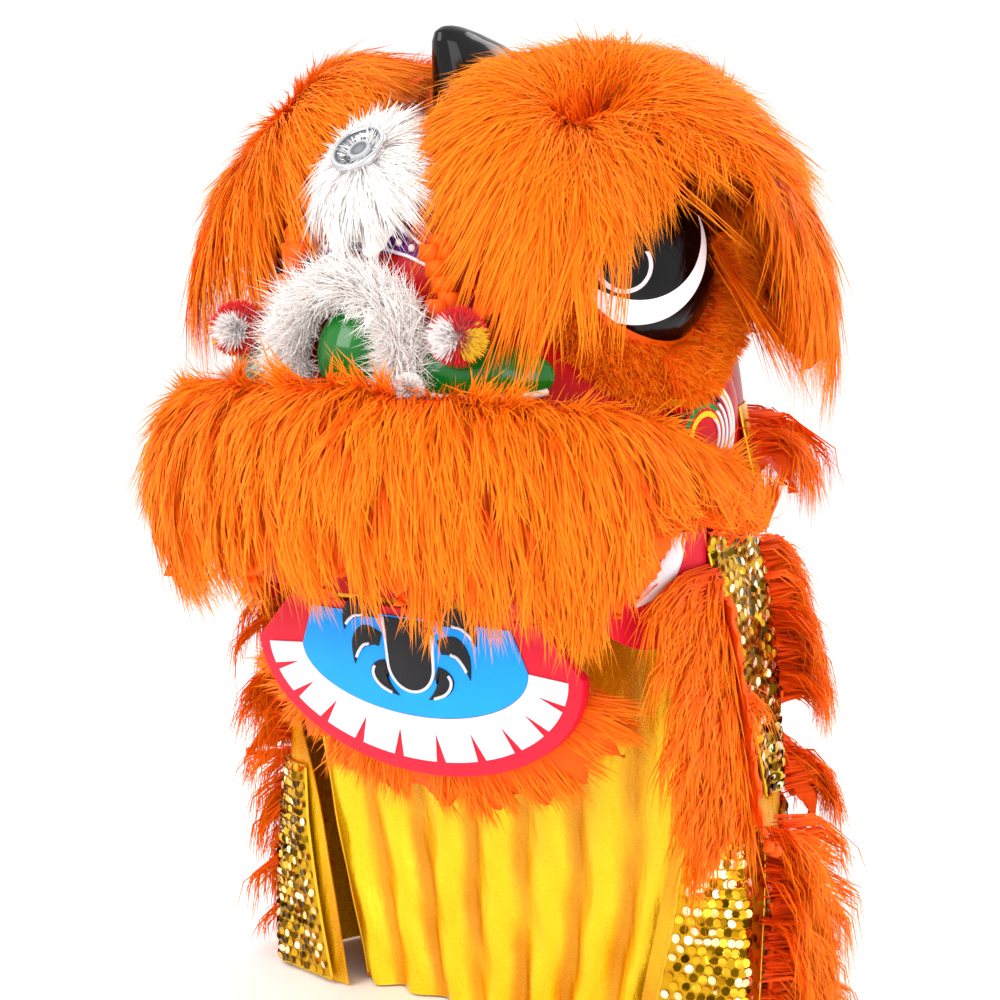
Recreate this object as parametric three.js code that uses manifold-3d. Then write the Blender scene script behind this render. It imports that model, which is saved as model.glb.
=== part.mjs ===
import * as THREE from "three";
import { mergeVertices } from "three/addons/utils/BufferGeometryUtils.js";
import Module from "manifold-3d";

const wasm = await Module();
wasm.setup();

// A lion dance head with its neck cape. Sizes are millimetres, +Z is up, the lion faces -Y.
const SHELL_WALL = 3;
const CLOTH_WALL = 2;
const SEAT_GAP = 0.5;
const CUT_FINENESS = 0.2;
const FUR_GAP = 1;
const FUR_FINENESS = 0.9;
const LAYER_GAP = 1.75;
const SQUARENESS = 2.3;

// The head shell, one row per height: half width, depth to the front and depth to the back.
const SHELL = [
  { z: 0, half_width: 232, front: 252, back: 215 },
  { z: 80, half_width: 238, front: 262, back: 226 },
  { z: 160, half_width: 233, front: 246, back: 230 },
  { z: 235, half_width: 217, front: 214, back: 226 },
  { z: 300, half_width: 194, front: 208, back: 210 },
  { z: 360, half_width: 160, front: 190, back: 176 },
  { z: 405, half_width: 112, front: 150, back: 125 },
  { z: 430, half_width: 52, front: 78, back: 60 },
];
const SHELL_TOP = 437;
const HEAD_MIDDLE = new THREE.Vector3(0, 0, 180);
const SHELL_COLUMNS = 20;
const SHELL_STEPS = [0, 80, 160, 230, 295, 350, 395, 425];

// The horn, a fin that leans forward, one row per height.
const HORN = [
  { z: 395, front: -95, back: 122, half_width: 48 },
  { z: 440, front: -92, back: 100, half_width: 44 },
  { z: 470, front: -95, back: 76, half_width: 38 },
  { z: 490, front: -98, back: 38, half_width: 31 },
  { z: 505, front: -100, back: -2, half_width: 24 },
  { z: 514, front: -98, back: -38, half_width: 16 },
  { z: 519, front: -90, back: -62, half_width: 8 },
];
const HORN_SIDES = 16;

// The forehead mirror, a dished disc that looks forward and up.
const MIRROR_FOOT = new THREE.Vector3(0, -194, 379);
const MIRROR_AXIS = new THREE.Vector3(0, -0.72, 0.69).normalize();
const MIRROR_RADIUS = 28;
const MIRROR_SEAT = 26;

// The eyes, domes turned a little forward, each in a short fur roll.
const EYE_CENTRE = new THREE.Vector3(200, -48, 296);
const EYE_AXIS = new THREE.Vector3(0.93, -0.36, 0.03).normalize();
const EYE_RADIUS = 84;
const EYE_BULGE = 34;
const EYE_RIM_RADIUS = 109;
const EYE_RIM_ROLL = 23;
const EYE_RIM_SPREAD = 1.75;

// The nose: a ball between two leaf shaped wings, with a fur arch and pompoms.
const NOSE_CENTRE = new THREE.Vector3(0, -208, 215);
const NOSE_RADII = new THREE.Vector3(46, 44, 50);
const WING_CENTRE = new THREE.Vector3(124, -202, 200);
const WING_RADII = new THREE.Vector3(68, 26, 30);
const WING_TURN = 0.5;
const POMPOM_CENTRE = new THREE.Vector3(129, -240, 236);
const POMPOM_RADIUS = 27;
const LIP_POMPOM_CENTRE = new THREE.Vector3(104, -278, 192);
const LIP_POMPOM_RADIUS = 14;
const NOSE_ARCH = { radius: 64, roll: 13, reach: 26, y: -234, z: 214, spread: 2.2, locks: 11 };

// The cheeks, shallow pads under and behind the eyes.
const CHEEK_CENTRE = new THREE.Vector3(224, -12, 150);
const CHEEK_RADII = new THREE.Vector3(30, 80, 76);

// The boards at the mouth corners, each with a crescent fang outside.
const SIDE = { y: -82, z: 24, half_y: 76, half_z: 76, near: 1, far: 5 };
const FANG = { top_y: -44, top_z: 78, foot_y: -112, foot_z: -12, bow: 16, width: 12, depth: 6 };

// The jaw board hangs from its pin, leaning back a little.
const PIN = { y: -145, z: -12, radius: 4 };
const RAIL = { y: -40, z: -12, radius: 4 };
const JAW_LEAN = 0.13;
const JAW_THICKNESS = 12;
const JAW_HALF_WIDTH = 196;
const JAW_CORNER = 64;
const JAW_DEPTH = 182;
const JAW_RIM = 15;
const TEETH_WIDTH = 44;
const TEETH_COUNT = 11;
const SHEET = 1.5;
const SLEEVE = { x: 120, length: 50, outer: 9, inner: 4.7 };

// The cape below the shell, one row per height; edge is its open front edge, in degrees from -Y.
const CAPE = [
  { z: 52, half_width: 236.6, front: 60, back: 222.9, edge: 97 },
  { z: -100, half_width: 262, front: 50, back: 246, edge: 84 },
  { z: -250, half_width: 277, front: 40, back: 255, edge: 52 },
  { z: -360, half_width: 283, front: 36, back: 259, edge: 42 },
  { z: -470, half_width: 287, front: 34, back: 262, edge: 35 },
];
const CAPE_COLUMNS = 34;
const CAPE_ROWS = 4;

// The satin bib: half width and standing of the cloth by height, and its folds.
const BIB = [
  { z: -8, half_width: 222, y: -45.3, fold: 0.2 },
  { z: -120, half_width: 226, y: -30, fold: 7 },
  { z: -250, half_width: 220, y: -14, fold: 12 },
  { z: -360, half_width: 202, y: -8, fold: 14 },
  { z: -470, half_width: 178, y: -4, fold: 15 },
];
const BIB_FOLDS = 7;
const BIB_COLUMNS = 28;
const BIB_ROWS = 3;

// Sequin panels on the cape: heights, angles of the two edges and how far each swings by the foot.
const LAPPETS = [
  { name: "lappet_upper", top: 30, foot: -212, from: 86, to: 124, swing_a: 12, swing_b: -12, peak: 20, sunk: 0 },
  { name: "lappet_lower", top: -240, foot: -466, from: 55, to: 98, swing_a: -17, swing_b: -6, peak: 0, sunk: 0 },
];
const BACK_LAPPETS = [
  { name: "lappet_back_upper", top: 20, foot: -190, from: 140, to: 220, swing_a: 0, swing_b: 0, peak: 0, sunk: 0 },
  { name: "lappet_back_lower", top: -240, foot: -464, from: 112, to: 248, swing_a: 0, swing_b: 0, peak: 0, sunk: 0.3 },
];

// Fur trims on the cape: angle and height of both ends, lock length and lean of the locks.
const TRIMS = [
  { name: "trim_front", a0: 88, z0: 0, a1: 91, z1: -229, reach: 62, lean: -0.35, locks: 8, lift: 1.7 },
  { name: "trim_side", a0: 127, z0: 8, a1: 116, z1: -130, reach: 62, lean: 0.5, locks: 6, lift: 1.5 },
  { name: "trim_low", a0: 100, z0: -300, a1: 98, z1: -430, reach: 66, lean: 0.5, locks: 6, lift: 1.5 },
];

// Fur domes: how far the locks reach and how much they hang, by direction from straight down.
const BROW = {
  centre: new THREE.Vector3(117, -66, 377),
  axis: new THREE.Vector3(0.55, -0.5, 0.67).normalize(),
  crown: 108,
  crease: 0.3,
  swell: 2.4,
  lift: 7,
  locks: 10,
  reach: [
    { deg: -180, reach: 128, hang: -20 },
    { deg: -116, reach: 150, hang: -10 },
    { deg: -74, reach: 164, hang: 20 },
    { deg: -30, reach: 196, hang: 45 },
    { deg: 0, reach: 184, hang: 40 },
    { deg: 18, reach: 162, hang: 6 },
    { deg: 36, reach: 205, hang: -30 },
    { deg: 54, reach: 268, hang: -46 },
    { deg: 72, reach: 255, hang: -46 },
    { deg: 90, reach: 215, hang: -34 },
    { deg: 140, reach: 160, hang: -20 },
    { deg: 180, reach: 128, hang: -20 },
  ],
};
const TEMPLE = {
  centre: new THREE.Vector3(148, 66, 378),
  axis: new THREE.Vector3(0.75, 0.15, 0.64).normalize(),
  crown: 110,
  crease: 0.3,
  swell: 2.4,
  lift: 7,
  locks: 10,
  reach: [
    { deg: -180, reach: 125, hang: -20 },
    { deg: -90, reach: 135, hang: -20 },
    { deg: -60, reach: 140, hang: -40 },
    { deg: -30, reach: 176, hang: -42 },
    { deg: 0, reach: 252, hang: -8 },
    { deg: 40, reach: 215, hang: 14 },
    { deg: 90, reach: 165, hang: 10 },
    { deg: 180, reach: 125, hang: -20 },
  ],
};
const PARTING = { x: 135, y: 0, z: 400, turn: -0.3 };
const MIRROR_FUR = {
  centre: MIRROR_FOOT,
  axis: MIRROR_AXIS,
  crown: MIRROR_SEAT,
  crease: 0.8,
  swell: 1,
  lift: 5,
  locks: 9,
  reach: [
    { deg: -180, reach: 62, hang: 20 },
    { deg: -90, reach: 66, hang: 22 },
    { deg: 0, reach: 92, hang: 26 },
    { deg: 90, reach: 66, hang: 22 },
    { deg: 180, reach: 62, hang: 20 },
  ],
};

// The lip fur, a horseshoe: by angle from the front, height of the lock tips,
// fullness, and how much lower the roll is than in the middle.
const LIP = [
  { deg: 0, tip: 6, full: 1, fall: 0 },
  { deg: 35, tip: -12, full: 1, fall: 0 },
  { deg: 62, tip: -24, full: 0.95, fall: 8 },
  { deg: 80, tip: 30, full: 0.85, fall: 30 },
  { deg: 98, tip: 86, full: 0.5, fall: 50 },
];
const LIP_LOCKS = 15;
const LIP_ROOM = 52;
const LIP_PROFILE = [
  { out: 1, z: 140 },
  { out: 26, z: 180 },
  { out: 62, z: 170 },
  { out: 80, z: 116 },
  { out: 78, z: 52 },
  { out: 64, z: 0, tip: 1 },
  { out: 44, z: 44 },
  { out: 1, z: 36, side: 26 },
];

// Satin collar round the neck and the fur ruff along it.
const COLLAR = { top: 160, foot: 58, from: 108, to: 252, columns: 24, gather: 4 };
const RUFF = { z: 118, from: 122, to: 238, reach: 58, locks: 9, lift: 7.8 };

const BACK_TRIM = { z: -214, from: 116, to: 244, reach: 62, locks: 10, lift: 1.6 };

const COLOURS = {
  orange_fur: [0xff7800, 0.9, 0],
  white_fur: [0xf2f0f4, 0.9, 0],
  red: [0xc8102e, 0.4, 0],
  black: [0x0a0a0a, 0.15, 0],
  green: [0x18a848, 0.3, 0],
  chrome: [0xd8d8d8, 0.08, 1],
  white: [0xf0f0f4, 0.45, 0],
  blue: [0x0a90f0, 0.45, 0],
  satin: [0xf0c000, 0.4, 0],
  sequin: [0xd8b020, 0.25, 0.6],
  steel: [0x8a8a8a, 0.4, 1],
  pompom: [0xe02018, 0.9, 0],
};

const vec = (x, y, z) => new THREE.Vector3(x, y, z);
const radians = THREE.MathUtils.degToRad;

// Value of one column of a table, smooth between its rows.
function read(table, key, column, at) {
  const rising = table[table.length - 1][key] > table[0][key];
  const rows = rising ? table : [...table].reverse();
  const last = rows.length - 1;
  const clamped = THREE.MathUtils.clamp(at, rows[0][key], rows[last][key]);
  let i = 0;
  while (i < last - 1 && clamped > rows[i + 1][key]) {
    i += 1;
  }
  const a = rows[i];
  const b = rows[i + 1];
  const before = rows[Math.max(i - 1, 0)];
  const after = rows[Math.min(i + 2, last)];
  const span = b[key] - a[key];
  const slope_a = (b[column] - before[column]) / (b[key] - before[key]);
  const slope_b = (after[column] - a[column]) / (after[key] - a[key]);
  const t = (clamped - a[key]) / span;
  const t2 = t * t;
  const t3 = t2 * t;
  const start = (2 * t3 - 3 * t2 + 1) * a[column] + (t3 - 2 * t2 + t) * span * slope_a;
  return start + (3 * t2 - 2 * t3) * b[column] + (t3 - t2) * span * slope_b;
}

// Point on a squarish ring, at an angle in degrees from -Y toward +X.
function ringPoint(half_width, front, back, deg, z) {
  const s = Math.sin(radians(deg));
  const c = Math.cos(radians(deg));
  const power = 2 / SQUARENESS;
  const x = half_width * Math.sign(s) * Math.abs(s) ** power;
  const y = (c > 0 ? -front : back) * Math.abs(c) ** power;
  return vec(x, y, z);
}

function shellPoint(deg, z, out) {
  const half_width = read(SHELL, "z", "half_width", z) + out;
  const front = read(SHELL, "z", "front", z) + out;
  const back = read(SHELL, "z", "back", z) + out;
  return ringPoint(half_width, front, back, deg, z);
}

// Where a line from the middle of the head through a point leaves the shell, and a little beyond.
function shellHug(point, out) {
  const ray = point.clone().sub(HEAD_MIDDLE).normalize();
  let near = 0;
  let far = 500;
  for (let k = 0; k < 30; k += 1) {
    const t = (near + far) / 2;
    const p = ray.clone().multiplyScalar(t).add(HEAD_MIDDLE);
    const front = read(SHELL, "z", p.y < 0 ? "front" : "back", p.z);
    const half_width = read(SHELL, "z", "half_width", p.z);
    const ring = Math.abs(p.x / half_width) ** SQUARENESS + Math.abs(p.y / front) ** SQUARENESS;
    const inside = ring < 1 && p.z < SHELL_TOP;
    near = inside ? t : near;
    far = inside ? far : t;
  }
  return ray.multiplyScalar(far + out).add(HEAD_MIDDLE);
}

function capePoint(deg, z, out) {
  const half_width = read(CAPE, "z", "half_width", z) + out;
  const front = read(CAPE, "z", "front", z) + out;
  const back = read(CAPE, "z", "back", z) + out;
  return ringPoint(half_width, front, back, deg, z);
}

// Closed geometry from points and triangles: welded, without slivers, faces outward.
function closedGeometry(points, triangles) {
  const raw = new THREE.BufferGeometry();
  raw.setAttribute("position", new THREE.Float32BufferAttribute(points.flatMap((p) => [p.x, p.y, p.z]), 3));
  raw.setIndex(triangles.flat());
  const welded = mergeVertices(raw, 1e-3);
  const index = welded.getIndex().array;
  const at = welded.getAttribute("position");
  const corner = [vec(0, 0, 0), vec(0, 0, 0), vec(0, 0, 0)];
  const kept = [];
  let volume = 0;
  for (let i = 0; i < index.length; i += 3) {
    const [a, b, c] = [index[i], index[i + 1], index[i + 2]];
    if (a === b || b === c || a === c) {
      continue;
    }
    kept.push([a, b, c]);
    corner.forEach((p, k) => p.fromBufferAttribute(at, index[i + k]));
    volume += corner[0].dot(corner[1].clone().cross(corner[2]));
  }
  welded.setIndex(kept.flatMap(([a, b, c]) => (volume > 0 ? [a, b, c] : [a, c, b])));
  return welded;
}

// Solid between two grids of points that meet at their borders, split alike on both halves.
function between(outer, inner, columns, rows, wrap) {
  const points = [];
  const width = wrap ? columns : columns + 1;
  for (const side of [outer, inner]) {
    for (let j = 0; j <= rows; j += 1) {
      for (let i = 0; i < width; i += 1) {
        points.push(side(i / columns, j / rows, i, j));
      }
    }
  }
  const half = width * (rows + 1);
  const id = (side, i, j) => side * half + j * width + (i % width);
  const triangles = [];
  const quad = (a, b, c, d) => triangles.push([a, b, c], [a, c, d]);
  const face = (a, b, c, d) => {
    const side = points[a].x + points[b].x + points[c].x + points[d].x;
    return side < 0 ? quad(b, c, d, a) : quad(a, b, c, d);
  };
  for (let i = 0; i < columns; i += 1) {
    for (let j = 0; j < rows; j += 1) {
      face(id(0, i, j), id(0, i + 1, j), id(0, i + 1, j + 1), id(0, i, j + 1));
      face(id(1, i + 1, j), id(1, i, j), id(1, i, j + 1), id(1, i + 1, j + 1));
    }
    quad(id(0, i + 1, 0), id(0, i, 0), id(1, i, 0), id(1, i + 1, 0));
    quad(id(0, i, rows), id(0, i + 1, rows), id(1, i + 1, rows), id(1, i, rows));
  }
  if (!wrap) {
    for (let j = 0; j < rows; j += 1) {
      quad(id(0, 0, j), id(0, 0, j + 1), id(1, 0, j + 1), id(1, 0, j));
      quad(id(0, columns, j + 1), id(0, columns, j), id(1, columns, j), id(1, columns, j + 1));
    }
  }
  return closedGeometry(points, triangles);
}

// Cloth wall: an inner surface and the same surface moved out along its normal.
function clothWall(surface, wall, columns, rows) {
  const step = 1e-3;
  const outer = (u, v) => {
    const across = surface(u + step, v).sub(surface(u - step, v));
    const along = surface(u, v + step).sub(surface(u, v - step));
    return surface(u, v).addScaledVector(along.cross(across).normalize(), wall);
  };
  return between(outer, surface, columns, rows, false);
}

// Solid through a row of rings with the same number of points, flat at both ends.
function loft(rings, capped) {
  const sides = rings[0].length;
  const points = rings.flat();
  const triangles = [];
  for (let j = 0; j + 1 < rings.length; j += 1) {
    for (let i = 0; i < sides; i += 1) {
      const a = j * sides + i;
      const b = j * sides + ((i + 1) % sides);
      const side = points[a].x + points[b].x + points[a + sides].x + points[b + sides].x;
      if (side > 0) {
        triangles.push([a, b, b + sides], [a, b + sides, a + sides]);
      } else {
        triangles.push([a, b, a + sides], [b, b + sides, a + sides]);
      }
    }
  }
  for (const [j, flip] of [[0, true], [rings.length - 1, false]]) {
    const ring = rings[j];
    const middle = capped[j === 0 ? 0 : 1] ?? ring.reduce((s, p) => s.add(p), vec(0, 0, 0)).divideScalar(sides);
    points.push(middle);
    for (let i = 0; i < sides; i += 1) {
      const a = j * sides + i;
      const b = j * sides + ((i + 1) % sides);
      triangles.push(flip ? [points.length - 1, b, a] : [points.length - 1, a, b]);
    }
  }
  return closedGeometry(points, triangles);
}

function toSolid(geometry) {
  const bare = new THREE.BufferGeometry();
  bare.setAttribute("position", geometry.getAttribute("position"));
  bare.setIndex(geometry.getIndex());
  const welded = mergeVertices(bare, 1e-3);
  const vertProperties = new Float32Array(welded.getAttribute("position").array);
  const triVerts = new Uint32Array(welded.getIndex().array);
  return new wasm.Manifold(new wasm.Mesh({ numProp: 3, vertProperties, triVerts }));
}

function toGeometry(solid) {
  const mesh = solid.getMesh();
  const geometry = new THREE.BufferGeometry();
  geometry.setAttribute("position", new THREE.Float32BufferAttribute(mesh.vertProperties, 3));
  geometry.setIndex([...mesh.triVerts]);
  return geometry;
}

// What stays of a geometry when others are cut from it, as its largest body.
function cut(geometry, ...tools) {
  return cutTo(CUT_FINENESS, geometry, ...tools);
}

function cutTo(fineness, geometry, ...tools) {
  let solid = toSolid(geometry);
  for (const tool of tools) {
    solid = solid.subtract(toSolid(tool));
  }
  const bodies = solid.decompose().sort((a, b) => b.volume() - a.volume());
  return toGeometry(bodies[0].simplify(fineness));
}

function fuse(...geometries) {
  return toGeometry(geometries.map(toSolid).reduce((a, b) => a.add(b)));
}

function mirrored(geometry) {
  const copy = toGeometry(toSolid(geometry));
  copy.scale(-1, 1, 1);
  const index = copy.getIndex().array;
  for (let i = 0; i < index.length; i += 3) {
    [index[i + 1], index[i + 2]] = [index[i + 2], index[i + 1]];
  }
  return copy;
}

// Turns a shape made along +Y to look along an axis from a point.
function aim(geometry, point, axis) {
  const turn = new THREE.Quaternion().setFromUnitVectors(vec(0, 1, 0), axis);
  return geometry.applyQuaternion(turn).translate(point.x, point.y, point.z);
}

function box(x0, x1, y0, y1, z0, z1) {
  const geometry = new THREE.BoxGeometry(x1 - x0, y1 - y0, z1 - z0);
  return geometry.translate((x0 + x1) / 2, (y0 + y1) / 2, (z0 + z1) / 2);
}

// Block on one side of the parting between the brow fur and the temple fur.
function partingSlab(side) {
  const slab = box(-500, 500, -0.6, 500, -500, 500);
  slab.rotateZ(side > 0 ? 0 : Math.PI);
  return slab.rotateZ(PARTING.turn).translate(PARTING.x, PARTING.y, PARTING.z);
}

function ellipsoid(centre, radii, grow, columns, rows) {
  const geometry = new THREE.SphereGeometry(1, columns, rows);
  return geometry.scale(radii.x + grow, radii.y + grow, radii.z + grow).translate(centre.x, centre.y, centre.z);
}

// The shell form as a full solid, used to seat what stands on the shell.
function shellForm(grow) {
  const rings = SHELL_STEPS.map((z) => {
    const ring = [];
    for (let i = 0; i < SHELL_COLUMNS; i += 1) {
      const p = shellPoint((360 * i) / SHELL_COLUMNS, z, grow);
      ring.push(z === 0 ? p.setZ(-grow) : p);
    }
    return ring;
  });
  return loft(rings, [vec(0, 0, -grow), vec(0, 0, SHELL_TOP + grow)]);
}

// The shell with its open hollow.
function headShell() {
  const hollow = shellForm(-SHELL_WALL).translate(0, 0, -0.01);
  const below = hollow.clone().translate(0, 0, -2 * SHELL_WALL);
  return cut(shellForm(0), hollow, below);
}

// Fur dome: locks that part from a crease, run outward over a crown and hang at their tips.
function furDome(dome, grow) {
  const down = vec(0, 0, -1).addScaledVector(dome.axis, dome.axis.z).normalize();
  const side = dome.axis.clone().cross(down);
  const columns = 2 * dome.locks;
  const form = (v, i) => {
    const deg = -180 + (360 * i) / columns;
    const valley = i % 2;
    const reach = read(dome.reach, "deg", "reach", deg) * (valley ? 0.8 : 1) + grow;
    const hang = read(dome.reach, "deg", "hang", deg) + 14;
    const out = down.clone().multiplyScalar(Math.cos(radians(deg)));
    out.addScaledVector(side, Math.sin(radians(deg)));
    const profile = dome.crease + dome.swell * v * (1 - v) + (0.1 - dome.crease) * v;
    const height = dome.crown * (profile - valley * 0.16 * v) - hang * v * v + grow;
    return dome.centre.clone().addScaledVector(out, reach * v).addScaledVector(dome.axis, height);
  };
  const outer = (u, v, i) => {
    const skin = form(v, i);
    const least = shellHug(skin, dome.lift + 12);
    return skin.distanceTo(HEAD_MIDDLE) < least.distanceTo(HEAD_MIDDLE) ? least : skin;
  };
  const inner = (u, v, i) => {
    const skin = outer(u, v, i);
    const base = shellHug(skin, v === 0 ? SEAT_GAP : dome.lift);
    const free = skin.clone().lerp(base, Math.min(0.3, 8 / skin.distanceTo(base)));
    return base.lerp(free, v * v);
  };
  return between(outer, inner, columns, 3, true);
}

function disc(profile, segments) {
  const points = profile.map(([radius, height]) => new THREE.Vector2(radius, height));
  const lathe = new THREE.LatheGeometry(points, segments);
  const at = lathe.getAttribute("position");
  const list = [];
  for (let i = 0; i < at.count; i += 1) {
    list.push(vec(at.getX(i), at.getY(i), at.getZ(i)));
  }
  const index = lathe.getIndex().array;
  const triangles = [];
  for (let i = 0; i < index.length; i += 3) {
    triangles.push([index[i], index[i + 1], index[i + 2]]);
  }
  return closedGeometry(list, triangles);
}

function eye(grow) {
  const r = EYE_RADIUS + grow;
  const b = EYE_BULGE + grow;
  const dome = [[0, b], [r * 0.4, b * 0.88], [r * 0.7, b * 0.6], [r * 0.9, b * 0.22]];
  const profile = [...dome, [r, -10], [r, -64], [0, -64]];
  return aim(disc(profile, 20), EYE_CENTRE, EYE_AXIS);
}

// The fur roll runs under the eye from one side to the other.
function eyeRim(grow) {
  const rings = [];
  const stations = 14;
  for (let i = 0; i <= stations; i += 1) {
    const turn = EYE_RIM_SPREAD * ((2 * i) / stations - 1);
    const roll = EYE_RIM_ROLL * (i % 2 ? 0.92 : 1) + grow;
    const ring = [];
    for (let k = 0; k < 6; k += 1) {
      const a = (2 * Math.PI * k) / 6;
      const r = EYE_RIM_RADIUS + roll * Math.cos(a);
      ring.push(vec(r * Math.sin(turn), roll * Math.sin(a) - 10, -r * Math.cos(turn)));
    }
    rings.push(ring);
  }
  return aim(loft(rings, [null, null]), EYE_CENTRE, EYE_AXIS);
}

function horn() {
  const rings = HORN.map((row) => {
    const ring = [];
    for (let i = 0; i < HORN_SIDES; i += 1) {
      const a = (2 * Math.PI * i) / HORN_SIDES;
      const y = (row.front + row.back) / 2 + ((row.back - row.front) / 2) * Math.sin(a);
      ring.push(vec(row.half_width * Math.cos(a), y, row.z));
    }
    return ring;
  });
  return loft(rings, [null, vec(0, -77, 520.5)]);
}

function mirrorDisc() {
  const r = MIRROR_RADIUS;
  const back = [[0, 0], [r - 3, 0], [r, 3], [r, 7], [r - 3, 9]];
  const profile = [...back, [r * 0.72, 4], [r * 0.5, 3], [r * 0.42, 6], [0, 4.5]];
  const foot = MIRROR_FOOT.clone().addScaledVector(MIRROR_AXIS, MIRROR_SEAT + SEAT_GAP);
  return aim(disc(profile, 16), foot, MIRROR_AXIS);
}

// The tuft has a flat seat in the middle for the mirror.
function mirrorFur(grow) {
  const dome = furDome(MIRROR_FUR, grow);
  const wide = MIRROR_RADIUS + 4;
  const seat = disc([[0, -70], [wide, -70], [wide, MIRROR_SEAT], [0, MIRROR_SEAT]], 16);
  const over = disc([[0, MIRROR_SEAT], [wide, MIRROR_SEAT], [wide + 10, 90], [0, 90]], 16);
  const core = fuse(dome, aim(seat, MIRROR_FOOT, MIRROR_AXIS));
  return cut(core, aim(over, MIRROR_FOOT, MIRROR_AXIS));
}

// White arch round the nose ball with locks that point outward.
function noseArch(grow) {
  const rings = [];
  const stations = 2 * NOSE_ARCH.locks;
  for (let i = 0; i <= stations; i += 1) {
    const turn = NOSE_ARCH.spread * ((2 * i) / stations - 1);
    const reach = NOSE_ARCH.reach * (i % 2 ? 0.45 : 1) + grow;
    const roll = NOSE_ARCH.roll + grow;
    const ring = [];
    const section = [[-roll, 30], [-roll, -roll * 0.6], [0, -roll], [reach, -roll * 0.2], [reach * 0.5, 30]];
    for (const [out, y] of section) {
      const r = NOSE_ARCH.radius + out;
      ring.push(vec(r * Math.sin(turn), NOSE_ARCH.y + y, NOSE_ARCH.z + r * Math.cos(turn)));
    }
    rings.push(ring);
  }
  return loft(rings, [null, null]);
}

function noseWing() {
  const wing = new THREE.SphereGeometry(1, 14, 8);
  wing.scale(WING_RADII.x, WING_RADII.y, WING_RADII.z).rotateZ(WING_TURN);
  return wing.translate(WING_CENTRE.x, WING_CENTRE.y, WING_CENTRE.z);
}

function pompom(centre, radius, grow) {
  const faceted = new THREE.IcosahedronGeometry(1, 1).deleteAttribute("normal").deleteAttribute("uv");
  const ball = mergeVertices(faceted);
  const at = ball.getAttribute("position");
  for (let i = 0; i < at.count; i += 1) {
    const size = (radius + grow) * (i % 2 ? 1 : 0.93);
    at.setXYZ(i, at.getX(i) * size, at.getY(i) * size, at.getZ(i) * size);
  }
  return ball.translate(centre.x, centre.y, centre.z);
}

// The lip fur: one profile per station round the snout, alternately a lock and a gap.
function lipFur() {
  const rings = [];
  const stations = 2 * LIP_LOCKS;
  const end = LIP[LIP.length - 1].deg;
  for (let i = 0; i <= stations; i += 1) {
    const deg = end * ((2 * i) / stations - 1);
    const tip = read(LIP, "deg", "tip", Math.abs(deg));
    const full = read(LIP, "deg", "full", Math.abs(deg));
    const fall = read(LIP, "deg", "fall", Math.abs(deg));
    const gap = i % 2;
    const ring = LIP_PROFILE.map((row) => {
      const room = row.side && Math.abs(deg) > LIP_ROOM ? row.side : 1;
      const out = Math.max(1 + (row.out - 1) * full * (gap && row.out > 50 ? 0.88 : 1), room);
      const low = Math.max(row.z - (row.z > 100 ? fall : 0), tip + 34);
      const z = row.tip ? tip + gap * 26 : low;
      return shellPoint(deg, 80, out).setZ(Math.max(z, tip));
    });
    rings.push(ring);
  }
  return loft(rings, [null, null]);
}

// Point beside the mouth, on the widest ring of the shell and a little beyond.
function sidePoint(y, z, out) {
  const x = (238 + out) * (1 - Math.abs(y / (262 + out)) ** SQUARENESS) ** (1 / SQUARENESS);
  return vec(x, y, z);
}

function mouthSide() {
  const at = (out) => (u, v) => {
    const across = 2 * u - 1;
    const tall = SIDE.half_z * Math.sqrt(1 - 0.9 * across * across);
    return sidePoint(SIDE.y + SIDE.half_y * across, SIDE.z + tall * (2 * v - 1), out);
  };
  return between(at(SIDE.far), at(SIDE.near), 10, 1, false);
}

// A crescent that follows the board, pointed at both ends.
function fang() {
  const rings = [];
  for (let k = 0; k <= 8; k += 1) {
    const t = k / 8;
    const bow = FANG.bow * Math.sin(Math.PI * t);
    const half = 0.6 + FANG.width * Math.sin(Math.PI * t);
    const y = THREE.MathUtils.lerp(FANG.top_y, FANG.foot_y, t) + bow * 0.77;
    const z = THREE.MathUtils.lerp(FANG.top_z, FANG.foot_z, t) - bow * 0.63;
    const low = SIDE.far + SEAT_GAP;
    rings.push([
      sidePoint(y + 0.77 * half, z - 0.63 * half, low),
      sidePoint(y + 0.77 * half, z - 0.63 * half, low + FANG.depth / 2),
      sidePoint(y, z, low + FANG.depth),
      sidePoint(y - 0.77 * half, z + 0.63 * half, low + FANG.depth / 2),
      sidePoint(y - 0.77 * half, z + 0.63 * half, low),
    ]);
  }
  return loft(rings, [null, null]);
}

// A rod from one mouth board to the other.
function rod(place) {
  const half_length = sidePoint(place.y - place.radius, 0, SIDE.near).x - SEAT_GAP;
  const geometry = new THREE.CylinderGeometry(place.radius, place.radius, 2 * half_length, 16);
  return geometry.rotateZ(Math.PI / 2).translate(0, place.y, place.z);
}

// Outline of the jaw, measured down from the pin, drawn in by an inset.
function jawEdge(t, inset) {
  const x = (JAW_HALF_WIDTH - inset) * Math.cos(t);
  const d = JAW_CORNER + (JAW_DEPTH - JAW_CORNER - inset) * Math.sin(t);
  return new THREE.Vector2(x, -d);
}

// A flat piece of the jaw stands on the leaning board at a height from its back.
function onJaw(shape, low, high) {
  const plate = new THREE.ExtrudeGeometry(shape, { depth: high - low, bevelEnabled: false, curveSegments: 6 });
  plate.rotateX(Math.PI / 2);
  plate.translate(0, -low, 0).rotateX(JAW_LEAN);
  return plate.translate(0, PIN.y + JAW_THICKNESS / 2, PIN.z);
}

function jawShape(inset, top, top_width) {
  const shape = new THREE.Shape();
  shape.moveTo(-top_width, -top);
  shape.lineTo(top_width, -top);
  for (let k = 0; k <= 24; k += 1) {
    const p = jawEdge((Math.PI * k) / 24, inset);
    shape.lineTo(p.x, p.y);
  }
  shape.closePath();
  return shape;
}

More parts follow.
